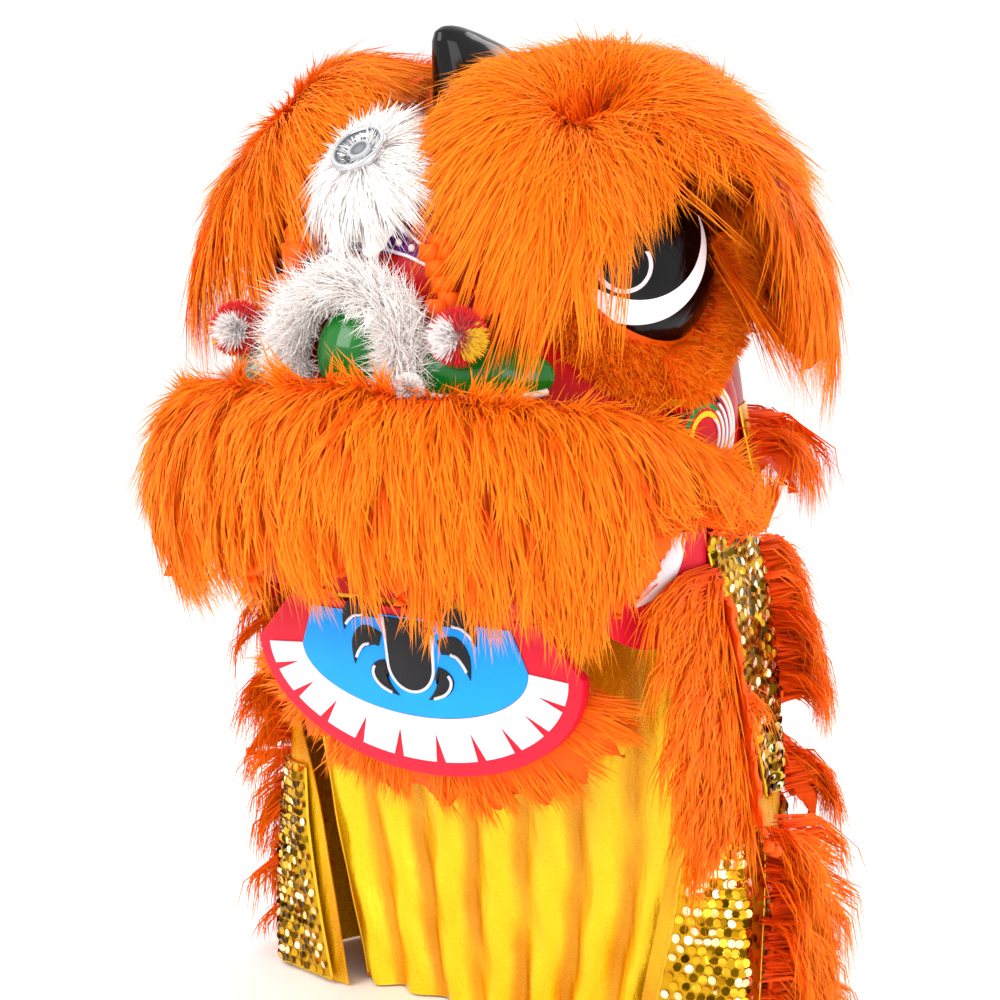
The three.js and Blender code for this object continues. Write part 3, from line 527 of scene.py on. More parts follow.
# %% [markdown]
# ## Brow and temple fur
#
# Each brow is a dome of long fur with a deep parting in the middle, from which the locks rise,
# roll over and fall outward on all sides. The temple behind it is the same kind of dome with its
# longest locks at the bottom. A lock runs out from the parting along the dome, starts deep in
# the wool and comes to the top at its tip, like slates on a roof.

# %% Domes of long fur
EYE_CENTRE = np.array([200, -48, 296.0])
EYE_AXIS = unit(np.array([0.93, -0.36, 0.03]))
EYE_RIGHT = np.array([0.361, 0.9326, 0.0])
EYE_UP = np.array([-0.028, 0.0109, 0.9995])
BROW = {  # by direction from straight down: how far the locks reach, turn inward and drop
    "centre": (117, -66, 377), "axis": (0.55, -0.5, 0.67), "crown": 114, "crease": (123, 0.22),
    "reach": [(-180, 116, -20, 0), (-150, 122, -16, 6), (-125, 142, -14, 6), (-90, 160, -10, 20),
              (-60, 158, -14, 60), (-30, 184, -22, 82), (-8, 214, -38, 50), (6, 205, -38, 30),
              (18, 158, -24, 0),
              (30, 146, -24, 0), (44, 158, -30, 0), (56, 185, -42, 0), (72, 246, -48, 0),
              (90, 222, -36, 0), (140, 158, -20, 0), (180, 116, -20, 0)],
}
TEMPLE = {
    "centre": (148, 66, 378), "axis": (0.75, 0.15, 0.64), "crown": 110, "crease": (123, 0.2),
    "reach": [(-180, 125, -20, 0), (-90, 140, -20, 0), (-60, 156, -40, 10), (-30, 222, -42, 34),
              (0, 256, -8, 46), (40, 215, 14, 40), (90, 165, 10, 0), (180, 125, -20, 0)],
}
CROWN = np.array([  # distance from the middle, height of the dome there
    (0, 0.78), (0.25, 0.84), (0.5, 0.8), (0.7, 0.66), (0.9, 0.34), (1, 0.1), (1.2, -0.3),
])
PARTING_DEPTH, PARTING_WIDTH = 0.45, 0.09


def dome_axes(dome):
    axis = unit(np.array(dome["axis"], float))
    down = unit(np.array([0, 0, -1]) + axis * axis[2])
    return axis, down, np.cross(axis, down)


def on_crease(dome, spot):
    """The nearest spot on the parting, which is a short line from the middle of the dome."""
    turn, length = math.radians(dome["crease"][0]), dome["crease"][1]
    line = np.array([math.cos(turn), math.sin(turn)])
    return np.clip(spot @ line, 0, length)[..., None] * line


def dome_point(dome, spot, height):
    """A point over the dome; a spot is 1 long at the reach of the locks."""
    axis, down, side = dome_axes(dome)
    table = np.array(dome["reach"], float)
    turned = np.degrees(np.arctan2(spot[..., 1], spot[..., 0]))
    v = np.linalg.norm(spot, axis=-1)
    reach = np.interp(turned, table[:, 0], table[:, 1])
    hang = np.interp(turned, table[:, 0], table[:, 2]) + 14
    apart = np.linalg.norm(spot - on_crease(dome, spot), axis=-1)
    parting = 1 - PARTING_DEPTH * np.exp(-(apart / PARTING_WIDTH) ** 2)
    crown = np.interp(v, CROWN[:, 0], CROWN[:, 1]) * parting
    rise = dome["crown"] * crown * height - hang * v * v
    flat = spot[..., :1] * down + spot[..., 1:] * side
    points = np.array(dome["centre"]) + flat * reach[..., None] + axis * rise[..., None]
    drop = np.interp(turned, table[:, 0], table[:, 3])
    points[..., 2] -= drop * np.clip((v - 0.4) / 0.6, 0, 1.3) ** 1.5
    return points


def dome_locks(dome, count, length, rng, low=0.94, top=1.07, furthest=1.03,
               sector=(-180, 180), points=9):
    """Lock lines over a dome, and the direction that is outward on each."""
    axis = dome_axes(dome)[0]
    table = np.array(dome["reach"], float)
    degrees = rng.uniform(*sector, count)
    reach = np.interp(degrees, table[:, 0], table[:, 1])
    far = np.sqrt(rng.uniform(0.03, furthest ** 2, count))
    turn = np.radians(degrees)
    end = np.stack([np.cos(turn), np.sin(turn)], -1) * far[:, None]
    start = on_crease(dome, end)
    whole = np.linalg.norm(end - start, axis=-1) * reach
    share = np.clip(1 - length * rng.uniform(0.8, 1.15, count) / whole, 0, 1)[:, None, None]
    t = np.linspace(0, 1, points)[None, :, None]
    spot = start[:, None] + (end - start)[:, None] * (share + (1 - share) * t)
    sway = np.stack([-np.sin(turn), np.cos(turn)], -1)[:, None]
    lean, bend = (rng.normal(0, much, (count, 1, 1)) for much in (0.1, 0.13))
    spot = spot + sway * (lean * t + bend * t * t)
    height = (low + (top - low) * t ** 0.7)[..., 0]
    paths = dome_point(dome, spot, height)
    from_middle = unit(paths - np.array(dome["centre"]))
    outward = unit(np.broadcast_to(axis * 0.8, paths.shape) + from_middle * 0.6)
    return paths, outward


def to_side(side, *arrays):
    """Moves points or directions of the right side to the left one."""
    return [a * np.array([side, 1, 1]) for a in arrays]


def fold_over(paths, edge):
    """Locks that would reach over the middle of the head hang down there instead."""
    past = np.maximum(edge - paths[..., 0], 0)
    paths = paths.copy()
    paths[..., 0] += past * 0.9
    paths[..., 2] -= past * 0.8
    return paths


def over_eye(points, lift=0.0):
    """Whether points, on either side, would hang before the open part of the eye."""
    from_eye = np.abs(points * np.array([1, 0, 0])) + points * np.array([0, 1, 1]) - EYE_CENTRE
    u, v, off = (from_eye @ direction for direction in (EYE_RIGHT, EYE_UP, EYE_AXIS))
    u = u + 0.45 * off
    return (off > -30) & (np.hypot(u, v) < 100 + lift) & (v < -31 + lift + 0.55 * (u + 79))


def bare_eye(points):
    """The ground ends higher than its strands, so that they hang over its edge."""
    return over_eye(points, 46)


def layered(*layers):
    """The lock lines of several layers, and their outward directions, as one."""
    return [np.concatenate(parts) for parts in zip(*layers)]


def dome_coat(node, side, locks, rng, edge, lift, per_lock, spread, width, drawn_in):
    """Combs the locks of a dome, leaves out the strands before the eye and lays the rest."""
    paths, outward = locks
    strands, facing = comb(fold_over(paths, edge), outward, per_lock, spread, rng, fluff=9)
    seen = ~over_eye(strands, rng.normal(lift, 7, (len(strands), 1))).any(1)
    strands, facing = to_side(side, strands[seen], facing[seen])
    coat(node, strands, facing, width, rng, "orange_fur", ORANGE_FUR, drawn_in, clear=bare_eye)


SIDES = [("right", 1), ("left", -1)]
for word, side in SIDES:
    rng = np.random.default_rng(11 + side)
    wide = dome_locks(BROW, 580, 100, rng, furthest=1.06)
    inner = dome_locks(BROW, 100, 84, rng, furthest=0.72)
    dome_coat(f"brow_fur_{word}", side, layered(wide, inner), rng,
              edge=32, lift=0, per_lock=31, spread=14, width=1.9, drawn_in=14)

    layers = [dome_locks(TEMPLE, 370, 110, rng, furthest=1.06)]
    for share in (0.15, 0.45, 0.75):
        layers.append(dome_locks(TEMPLE, 44, 120, rng, low=share - 0.1, top=share, sector=(-60, 60)))
    paths, outward = layered(*layers)
    behind = paths[:, -1] @ np.array([-0.3, 1, 0]) > -112
    dome_coat(f"temple_fur_{word}", side, (paths[behind], outward[behind]), rng,
              edge=34, lift=-18, per_lock=30, spread=15, width=2.0, drawn_in=22)

# %% [markdown]
# ## Lip fur
#
# The upper lip is a horseshoe roll. Its parting runs along the top: most locks roll over the front
# and hang as a fringe over the mouth, and short ones lie back towards the nose. From the middle
# the fringe sweeps to both sides.

# %% Lip fringe
LIP_ROWS = np.array([  # angle, height of the tips, fullness, how much lower the roll lies
    (0, -4, 1, 0), (20, -20, 1, 4), (35, -26, 1, 12), (50, -40, 1, 18), (58, -48, 0.97, 20),
    (62, -14, 0.95, 22), (66, 30, 0.93, 26), (72, 56, 0.9, 40), (80, 64, 0.85, 64), (98, 80, 0.5, 90),
], float)
LIP_END = 90
FRINGE_TOP = 158  # below this height of a profile, locks are stretched to the height of the tips
COMBED = np.array([  # distance off the shell, height
    (6, 178), (28, 194), (52, 194), (72, 176), (85, 146), (88, 108), (81, 70), (62, 32), (38, -6),
], float)
RAISED = np.array([(34, 182), (50, 198), (54, 208), (50, 216)], float)
MOUTH_CORNER = np.array([  # angle, height below which the corner of the mouth stays bare
    (58, -90), (62, 10), (66, 56), (72, 80), (80, 90), (86, 100), (88, 300),
], float)
FRONT_LIMIT, BACK_LIMIT, LOW_LIMIT = -366, 322, -468  # no strand reaches past these
rng = np.random.default_rng(21)


def droop(angle):
    """How much lower the fur of the left corner hangs, as in the photograph."""
    return np.interp(angle, [-78, -60, -50, -28], [0, 30, 28, 0])


def lip_line(degrees, reach, profile, rng, sweep):
    """Lock lines that follow a profile, rows of how far out and how high, from root to tip."""
    share = np.linspace(0, 1, len(profile))
    turn = np.clip(degrees / 45, -1, 1) * sweep + rng.normal(0, 6, degrees.shape)
    angle = degrees + turn * np.maximum(reach, 0) ** 1.4
    tip, full, fall = (np.interp(np.abs(angle), LIP_ROWS[:, 0], LIP_ROWS[:, k]) for k in (1, 2, 3))
    fall = fall + droop(angle)
    full = full * (1 - 0.16 * np.clip((-30 - angle) / 25, 0, 1))
    paths = ring(SHELL_ROWS, angle, 80, 1 + np.interp(reach, share, profile[:, 0]) * full)
    high = np.interp(reach, share, profile[:, 1])
    stretched = tip + (FRINGE_TOP - tip) * high / FRINGE_TOP
    paths[..., 2] = np.where(high < FRINGE_TOP, stretched, high)
    paths[..., 2] -= fall * np.clip((high - 40) / 80, 0, 1)
    return paths


def lip_locks(count, profile, share, sweep, rng, points=9):
    """Locks that end anywhere along a profile and start a share of it before that."""
    degrees = rng.uniform(-LIP_END, LIP_END, (count, 1))
    end = rng.uniform(0.12, 1.06, (count, 1))
    start = end - share * rng.uniform(0.8, 1.2, (count, 1))
    t = np.linspace(0, 1, points)[None]
    paths = lip_line(degrees, np.maximum(start + (end - start) * t, 0), profile, rng, sweep)
    paths[..., :2] *= (0.955 + 0.055 * t ** 0.6)[..., None]
    paths[..., 2] -= 7 * (1 - t)
    outward = unit(unit(paths * np.array([1, 1, 0])) + np.array([0, 0, 0.4]))
    return paths, outward


hanging = lip_locks(680, COMBED, 0.35, 9, rng)
lying = lip_locks(60, RAISED, 1.0, 6, rng)
strands, facing = comb(*layered(hanging, lying), per_lock=33, spread=15, rng=rng, fluff=10)
strands[..., 1] = np.maximum(strands[..., 1], FRONT_LIMIT)


def mouth_corner(points):
    """The ground of the lip that would hide the corner of the mouth."""
    angle = np.degrees(np.arctan2(points[:, 0], -points[:, 1]))
    under = points[:, 2] < np.interp(np.abs(angle), MOUTH_CORNER[:, 0], MOUTH_CORNER[:, 1])
    return under | ((droop(angle) > 4) & (points[:, 2] > 168 - droop(angle)))


coat("lip_fur", strands, facing, 1.9, rng, "orange_fur", ORANGE_FUR,
     drawn_in=9, clear=mouth_corner)

# %% [markdown]
# ## Fur trims of the cape
#
# Strips of fur are sewn down both sides of the cape, round its back and along the collar. Their
# locks stand out from the seam, lean to one side and fall. The beard is the same strip, glued
# behind the lower edge of the jaw, so it swings with it.

# %% Trims, ruff and beard
SIDE_LOCKS, ROUND_LOCKS = 90, 135
TRIMS = [  # name, angle and height of both ends, reach, how far it stands out, lean right and left
    ("trim_front", 88, 0, 91, -229, 74, 0.4, (-1.7, -0.2)),
    ("trim_side", 127, 8, 116, -130, 74, 1.0, (0.5, 0.5)),
    ("trim_low", 100, -250, 98, -430, 76, 1.0, (0.45, 0.2)),
]
ROUND_TRIMS = [  # name, rows that it is sewn on, angles of both ends, height, distance off, reach
    ("ruff", SHELL_ROWS, 110, 250, 118, 9, 80),
    ("trim_back", CAPE_ROWS, 116, 244, -214, 4, 76),
]
FALL = np.array([  # share of the lock, outward, downward
    (0, 0.04, -0.1), (0.3, 0.42, -0.14), (0.65, 0.68, 0.2), (1, 0.7, 0.86),
])


def strip_locks(foot, reach, lean, rng, stand=1.0, points=9):
    """Lock lines that leave foot points, given as (locks, 3), and fall beside each other."""
    point, along, outward = foot
    n = len(point)
    t = np.linspace(0, 1, points)[None] * rng.uniform(0.75, 1.1, (n, 1))
    far = reach * rng.uniform(0.85, 1.1, (n, 1))
    out = np.interp(t, FALL[:, 0], FALL[:, 1]) * far
    drop = np.interp(t, FALL[:, 0], FALL[:, 2]) * far
    shift = rng.normal(0, 9, (n, 1))
    turn = lean * rng.uniform(0.35, 1.25, (n, 1)) + rng.normal(0, 0.5, (n, 1))
    sideways = shift + turn * out * 1.2
    paths = point[:, None] + along[:, None] * sideways[..., None]
    paths = paths + outward[:, None] * out[..., None] * stand
    paths[..., 2] -= drop
    facing = np.broadcast_to(unit(outward + np.array([0, 0, 0.35]))[:, None], paths.shape)
    return paths, facing


def foot_on(rows, degrees, z, out):
    """Points on a stack of rings, with the directions along the ring and outward."""
    point = ring(rows, degrees, z, out)
    along = unit(ring(rows, degrees + 1, z, out) - ring(rows, degrees - 1, z, out))
    return point, along, np.cross(along, [0, 0, 1])


def held_in(strands, widest=340, give=16):
    """Strands that reach far out to the sides are laid closer, and none passes the limits."""
    over = np.maximum(np.abs(strands[..., :1]) - widest, 0)
    shift = np.sign(strands[..., :1]) * (over - give * np.tanh(over / give))
    strands = strands - shift * np.array([1, 0, 0])
    strands[..., 1] = np.minimum(strands[..., 1], BACK_LIMIT)
    strands[..., 2] = np.maximum(strands[..., 2], LOW_LIMIT)
    return strands


for trim, a0, z0, a1, z1, reach, stand, leans in TRIMS:
    for (word, side), lean in zip(SIDES, leans):
        rng = np.random.default_rng(abs(z1) + 5 * side)
        t = rng.uniform(0, 1, SIDE_LOCKS)
        foot = foot_on(CAPE_ROWS, a0 + (a1 - a0) * t, z0 + (z1 - z0) * t, 6)
        paths, outward = to_side(side, *strip_locks(foot, reach, lean, rng, stand))
        strands, facing = comb(paths, outward, 32, 15, rng, fluff=9)
        coat(f"{trim}_{word}", held_in(strands), facing, 2.0, rng, "orange_fur", DEEP_FUR, drawn_in=7)

for trim, rows, start, end, z, out, reach in ROUND_TRIMS:
    rng = np.random.default_rng(abs(z))
    degrees = rng.uniform(start, end, ROUND_LOCKS)
    foot = foot_on(rows, degrees, z + rng.normal(0, 5, ROUND_LOCKS), out)
    strands, facing = comb(*strip_locks(foot, reach, 0, rng), 34, 18, rng, fluff=9)
    coat(trim, held_in(strands), facing, 2.2, rng, "orange_fur", DEEP_FUR, drawn_in=7)

# %% Beard
JAW_PIN = (0, -145, -12)
JAW_LEAN = 0.13
JAW_THICK = 12
BEARD_LOCKS, BEARD_END = 76, 0.22
BEARD = np.array([  # share of the lock, inset from the edge of the jaw, height off its back
    (0, 22, -3), (0.3, -2, -9), (1, -56, -20), (1.15, -66, -22),
], float)


def jaw_edge(t, inset):
    """Outline of the jaw board, drawn in by an inset: across and down from the pin."""
    return (196 - inset) * np.cos(t), 64 + (182 - 64 - inset) * np.sin(t)


def on_jaw(x, height, down):
    """A point on the leaning board: across, height off its back and distance below the pin."""
    x, height, down = np.broadcast_arrays(*(np.asarray(v, float) for v in (x, height, down)))
    c, s = math.cos(JAW_LEAN), math.sin(JAW_LEAN)
    y = -height * c + down * s
    z = -height * s - down * c
    return np.stack([x, y + JAW_PIN[1] + JAW_THICK / 2, z + JAW_PIN[2]], -1)


rng = np.random.default_rng(31)
t = rng.uniform(BEARD_END, math.pi - BEARD_END, (BEARD_LOCKS, 1))
share = np.linspace(0, 1, 9)[None] * rng.uniform(0.7, 1.15, (BEARD_LOCKS, 1))
inset, behind = (np.interp(share, BEARD[:, 0], BEARD[:, k]) for k in (1, 2))
across, down = jaw_edge(t + rng.normal(0, 0.05, t.shape) * share, inset)
paths = on_jaw(across, behind + rng.normal(0, 4, t.shape) * share, down)
outward = np.broadcast_to(np.array([0, -1.0, 0.1]), paths.shape)
strands, facing = comb(paths, outward, 36, 14, rng)
coat("jaw_beard", strands, facing, 2.0, rng, "orange_fur", DEEP_FUR, body="jaw")

# %% [markdown]
# ## White fur of the mirror and the nose
#
# A round tuft of white fur frames the forehead mirror, and an arch of it stands round the nose.
# The tuft is another dome. The arch sends its locks straight out from the ball of the nose.

# %% White tuft and arch
MIRROR_FUR = {
    "centre": (0, -194, 379), "axis": (0, -0.72, 0.69), "crown": 34, "crease": (0, 0),
    "reach": [(-180, 80, -14, 0), (-90, 80, 16, 0), (0, 84, 26, 0), (90, 80, 16, 0), (180, 80, -14, 0)],
}
rng = np.random.default_rng(41)
paths, outward = dome_locks(MIRROR_FUR, 200, 44, rng, low=0.88, furthest=1.06)
strands, facing = comb(paths, outward, 30, 9, rng, fluff=7)
coat("mirror_fur", strands, facing, 1.2, rng, "white_fur", WHITE_FUR, drawn_in=4)

ARCH_RADIUS, ARCH_ROLL, ARCH_HAIRS = 64, 12, 7000
ARCH_MIDDLE = np.array([0, -234, 214])
rng = np.random.default_rng(42)
n = ARCH_HAIRS
turn = rng.uniform(-2.2, 2.2, (n, 1))
around = rng.uniform(-3.5, 1.3, (n, 1))
t = np.linspace(0, 1, SHORT_POINTS)[None] * rng.uniform(0.6, 1.15, (n, 1))
away = (9 + 9 * np.abs(turn)) * np.clip(0.6 + np.cos(around), np.where(turn > 0.2, -0.9, -0.2), 1)
swept = turn + rng.normal(0, 0.22, (n, 1)) * t
roll = ARCH_ROLL * 0.8 + 9 * t
radius = ARCH_RADIUS + roll * np.cos(around) + away * t
forward = roll * np.sin(around) - 9 * t * t
strands = ARCH_MIDDLE + np.stack([radius * np.sin(swept), forward, radius * np.cos(swept)], -1)
strands += rng.normal(0, 6.5, (n, 1, 3)) * t[..., None] ** 2
facing = unit(np.concatenate([np.sin(turn) * 0.3, np.full_like(turn, -1.0), np.cos(turn) * 0.3], 1))
coat("nose_fur", strands, facing, 1.1, rng, "white_fur", WHITE_FUR, drawn_in=4)

# %% [markdown]
# ## Pile of the eye lids
#
# Under each eye lies a padded roll of short pile. Its hairs are too short to gather in locks, so
# each one leaves the roll on its own, leaning away from the eye.

# %% Eye lids
CHEEK = {"centre": np.array([224, -12, 150.0]), "radii": (30, 80, 76), "front": -58}
LID_RADIUS, LID_ROLL = 109, 23
LID_HAIRS, LID_LENGTH = 13000, 20
EYE_HEIGHT = np.array([  # distance from the middle of the eye, height of its dome there
    (0, 36), (34, 32), (59, 22), (76, 9), (84, -10), (85, -60),
], float)


def aimed(points, centre, axis):
    """Points that were drawn round the Y axis, turned to another axis and moved to a centre."""
    start = np.array([0, 1.0, 0])
    turn = np.cross(start, axis)
    skew = np.array([[0, -turn[2], turn[1]], [turn[2], 0, -turn[0]], [-turn[1], turn[0], 0]])
    rotation = np.eye(3) + skew + skew @ skew / (1 + start @ axis)
    return points @ rotation.T + centre


def lid_spot(turn, radius):
    """A spot beside the right eye: turn from straight down, distance from its middle."""
    flat = np.sin(turn)[..., None] * EYE_RIGHT - np.cos(turn)[..., None] * EYE_UP
    return EYE_CENTRE + flat * radius[..., None]


def in_shell(points):
    half_width, front, back = (
        curve(SHELL_ROWS[:, 0], SHELL_ROWS[:, k], points[..., 2]) for k in (1, 2, 3))
    depth = np.where(points[..., 1] < 0, front, back)
    x, y = np.abs(points[..., 0] / half_width), np.abs(points[..., 1] / depth)
    return x ** SQUARENESS + y ** SQUARENESS < 1


def in_cheek(points):
    near = (((points - CHEEK["centre"]) / CHEEK["radii"]) ** 2).sum(-1) < 1
    return near & (points[..., 1] > CHEEK["front"])


def lid_height(spots, radius):
    """How far the roll, the shell or the cheek stands out along the axis of the eye."""
    best = np.sqrt(np.maximum(LID_ROLL ** 2 - (radius - LID_RADIUS) ** 2, 0)) - 12
    for off in np.linspace(-40, 110, 51):
        points = spots + EYE_AXIS * off
        inside = in_shell(points) | in_cheek(points)
        best = np.where(inside, np.maximum(best, off), best)
    return best


for word, side in SIDES:
    rng = np.random.default_rng(51)
    turn = rng.uniform(-1.95, 1.9, LID_HAIRS)
    radius = np.sqrt(rng.uniform(50 ** 2, 124 ** 2, LID_HAIRS))
    spots = lid_spot(turn, radius)
    high = lid_height(spots, radius)
    free = high > np.interp(radius, EYE_HEIGHT[:, 0], EYE_HEIGHT[:, 1])
    spots, roots = spots[free], (spots + EYE_AXIS * high[:, None])[free]
    n = len(roots)
    away = unit(spots - EYE_CENTRE)
    lean = away * 0.45 + EYE_AXIS * 0.85 + np.array([0, 0, -0.1])
    lean = unit(lean + rng.normal(0, 0.22, (n, 3)))
    t = np.linspace(0, 1, SHORT_POINTS)[None, :, None] * rng.uniform(0.75, 1.2, (n, 1, 1))
    strands = roots[:, None] + lean[:, None] * t * LID_LENGTH - EYE_AXIS * t * t * 5 - EYE_AXIS * 2
    strands, facing = to_side(side, strands, np.broadcast_to(EYE_AXIS, roots.shape))
    coat(f"eye_rim_{word}", strands, facing, 1.8, rng, "orange_fur", ORANGE_FUR, drawn_in=3)

# %% [markdown]
# ## Pompoms
#
# A pompom is a ball of cut yarn. Every yarn end stands straight out from the middle, and the
# maker winds several colours one after another, which leaves clear patches. The patch is chosen
# by direction, and written into the map of each strand.

# %% Pompoms
def yarn_finish(name, *colours):
    yarn = Finish(name, Roughness=0.85, Sheen_Weight=0.3)
    parts = yarn.node("SeparateXYZ", None, {0: yarn.node("UVMap", {"uv_map": "OFBake"})})
    own, along = parts, parts.other(1)
    colour = colours[0]
    for k, other in enumerate(colours[1:]):
        colour = yarn.mix(own > (k + 1) / len(colours), colour, other)
    # Each yarn end is multiplied darker towards its root: painted shade.
    sockets = {0: along.soft(0.6, 0.0) * 0.3, 6: colour, 7: (0.4, 0.3, 0.3, 1)}
    colour = yarn.node("Mix", {"data_type": "RGBA", "blend_type": "MULTIPLY"}, sockets, out=2)
    yarn.feed("Base Color", colour)
    return yarn.material


YARN = yarn_finish("three_colour_yarn", dye(226, 20, 24), dye(252, 246, 244), dye(255, 214, 20))
NOSE_POMPOM = np.array([129, -240, 236.0])
LIP_POMPOM = np.array([104, -278, 192.0])


def pompom_coat(node, centre, radius, count, slot, material, patches, rng):
    """Yarn ends from the middle of a ball; patches are rows of direction, cosine and map value."""
    toward = unit(rng.normal(0, 1, (count, 3)))
    own = np.full(count, 0.15)
    for direction, cosine, value in patches:
        edge = cosine + rng.normal(0, 0.05, count)
        own = np.where(toward @ unit(np.array(direction, float)) > edge, value, own)
    t = np.linspace(0.4, 1, SHORT_POINTS)[None, :, None] * rng.uniform(0.93, 1.04, (count, 1, 1))
    strands = centre + toward[:, None] * radius * t + rng.normal(0, 0.8, (count, 1, 3)) * t
    facing = rng.normal(0, 1, (count, 3))
    return coat(node, strands, facing, 2.2, rng, slot, material, radius * 0.3, own=own)


for word, side in SIDES:
    rng = np.random.default_rng(61)
    patches = [((-0.25 * side, -0.93, -0.03), 0.66, 0.5), ((0.96 * side, 0.03, -0.29), 0.74, 0.85)]
    centre = NOSE_POMPOM * np.array([side, 1, 1])
    pompom_coat(f"nose_pompom_{word}", centre, 28, 2600, "pompom", YARN, patches, rng)
    centre = LIP_POMPOM * np.array([side, 1, 1])
    pompom_coat(f"lip_pompom_{word}", centre, 14.5, 1200, "white_fur", WHITE_FUR, [], rng)

# %% [markdown]
# ## Surfaces from a grid
#
# Shells, boards and cloth all start as a grid whose points are laid on a surface by a function of
# two shares, across and down. A tube or ball is a grid bent round until its edges meet, and the
# doubles are then merged. Cloth keeps its open edges and gets a wall from Solidify.

# %% Grid helpers
SHARP = math.radians(50)  # edges bent by more than this stay crisp
SEAM = 0.00005
CLOTH_THICK = 1.6


def grid(name, surface, columns, rows):
    bpy.ops.object.select_all(action="DESELECT")
    bpy.ops.mesh.primitive_grid_add(x_subdivisions=columns, y_subdivisions=rows, size=1)
    piece = bpy.context.object
    piece.name = piece.data.name = name
    spots = np.empty(len(piece.data.vertices) * 3, np.float32)
    piece.data.vertices.foreach_get("co", spots)
    u, v = spots.reshape(-1, 3)[:, :2].T + 0.5
    piece.data.vertices.foreach_set("co", (surface(u, v) * MM).astype(np.float32).ravel())
    piece.data.uv_layers[0].name = "Weave"
    piece.data.update()
    return piece


def mirrored(surface, side):
    """A surface of the right side, there or on the left one."""
    return lambda u, v: surface(u, v) * np.array([side, 1, 1])


def close(piece):
    """Merges the seam and the poles and turns the faces outward."""
    with edit_mode(piece):
        bpy.ops.mesh.remove_doubles(threshold=SEAM)
        bpy.ops.mesh.normals_make_consistent(inside=False)
    bpy.ops.object.shade_smooth_by_angle(angle=SHARP)
    return piece


def fill_ends(piece):
    """Closes the open ends of a tube."""
    with edit_mode(piece):
        bpy.ops.mesh.fill_holes(sides=0)
    return close(piece)


def wall(piece, thick, offset=0.0):
    """Gives a sheet a thickness: half on each side, or inward with an offset of -1."""
    solid = piece.modifiers.new("wall", "SOLIDIFY")
    solid.thickness = thick * MM
    solid.offset = offset
    apply_all(piece)
    bpy.ops.object.shade_smooth_by_angle(angle=SHARP)
    return piece


def piping(name, lines, thick, material, slot, body="head"):
    """Cords laid along lines, each line an array of points, joined as one mesh."""
    cord = bpy.data.curves.new(name, "CURVE")
    cord.dimensions = "3D"
    cord.bevel_depth = thick / 2 * MM
    cord.bevel_resolution = 1
    cord.use_fill_caps = True
    for line in lines:
        spline = cord.splines.new("POLY")
        spline.points.add(len(line) - 1)
        flat = np.concatenate([line * MM, np.ones((len(line), 1))], 1)
        spline.points.foreach_set("co", flat.astype(np.float32).ravel())
    laid = bpy.data.objects.new(name, cord)
    bpy.context.scene.collection.objects.link(laid)
    only(laid)
    bpy.ops.object.convert(target="MESH")
    laid = bpy.context.object
    bpy.ops.object.shade_smooth()
    return dress(laid, None, slot, material, body)


def smooth_line(points, count=24):
    """A rounded line through a few points."""
    points = np.array(points, float)
    step = np.arange(len(points), dtype=float)
    at = np.linspace(0, len(points) - 1, count)
    return np.stack([curve(step, points[:, k], at) for k in range(points.shape[1])], -1)


# %% [markdown]
# ## Lacquer, foam, satin and metal
#
# The face is papier-mache under glossy paint, the mouth is painted foam board, the cape is satin.
# Lacquer has a clear coat over slightly uneven paint. Foam is matt and grainy. Satin has a fine
# thread and long crinkles; it is painted deeper in colour where it lies in a fold, which is painted
# shade, and lighter where its crinkles rise.

# %% Finishes of faces and cloth
BACKING_RADIUS = 0.122


def lacquer(name, colour, deep, rough=0.2, coat_weight=0.4, gloss=0.4, pattern=None, backed=False):
    paint = Finish(name, Coat_Weight=coat_weight, Coat_Roughness=0.06, Specular_IOR_Level=gloss)
    place = paint.place()
    base = paint.mix(paint.noise(place, 16, 3), colour, deep)
    if pattern is not None:
        parts = paint.node("SeparateXYZ", None, {0: place})
        base = pattern(paint, parts, parts.other(1), parts.other(2), base)
        if backed:
            base = lid_backing(paint, parts, parts.other(1), parts.other(2), base)
    paint.feed("Base Color", base)
    scuffed = paint.noise(place, 210, 4).soft(0.6, 0.72)
    paint.feed("Roughness", rough + scuffed * 0.22)
    paint.bump(paint.noise(place, 70, 3), 0.08, 0.001)
    return paint.material


def beside_eye(x, y, z):
    """Places across and up from the middle of the eye, in metres."""
    side = abs(x)
    shifts = [float(EYE_CENTRE @ direction) * MM for direction in (EYE_RIGHT, EYE_UP)]
    return [side * float(d[0]) + y * float(d[1]) + z * float(d[2]) - shift
            for d, shift in zip((EYE_RIGHT, EYE_UP), shifts)]


def lid_backing(paint, x, y, z, base):
    """The orange cloth under the pile of the lid."""
    u, v = beside_eye(x, y, z)
    near = (u * u + v * v < BACKING_RADIUS ** 2) * (v < 0.02) * (abs(x) > 0.1)
    return paint.mix(near, base, dye(226, 84, 0))


def foam(name, colour, deep):
    board = Finish(name, Specular_IOR_Level=0.35)
    place = board.place()
    grain = board.noise(place, 700, 2)
    board.feed("Base Color", board.mix(board.noise(place, 24, 4), colour, deep))
    board.feed("Roughness", 0.45 + grain * 0.25)
    board.bump(grain, 0.15, 0.0006)
    return board.material


def satin(name, light, deep):
    cloth = Finish(name, Metallic=0.5)
    place = cloth.place()
    sockets = {"Vector": place, "Rotation": (0.5, 0.35, 0), "Scale": (1, 1, 0.3)}
    crinkle = cloth.noise(cloth.node("Mapping", None, sockets), 26, 5)
    thread = cloth.noise(place, 1100, 1)
    fold = cloth.node("Attribute", {"attribute_name": "fold"}, out=2)
    # The fold term darkens the cloth where it lies in a fold: painted shade.
    bright = (crinkle * 0.45 - fold * 0.26 + 0.22).soft(0.14, 0.5)
    cloth.feed("Base Color", cloth.mix(bright, deep, light))
    cloth.feed("Roughness", 0.2 + thread * 0.14)
    cloth.bump(crinkle + thread * 0.04, 0.8, 0.012)
    return cloth.material


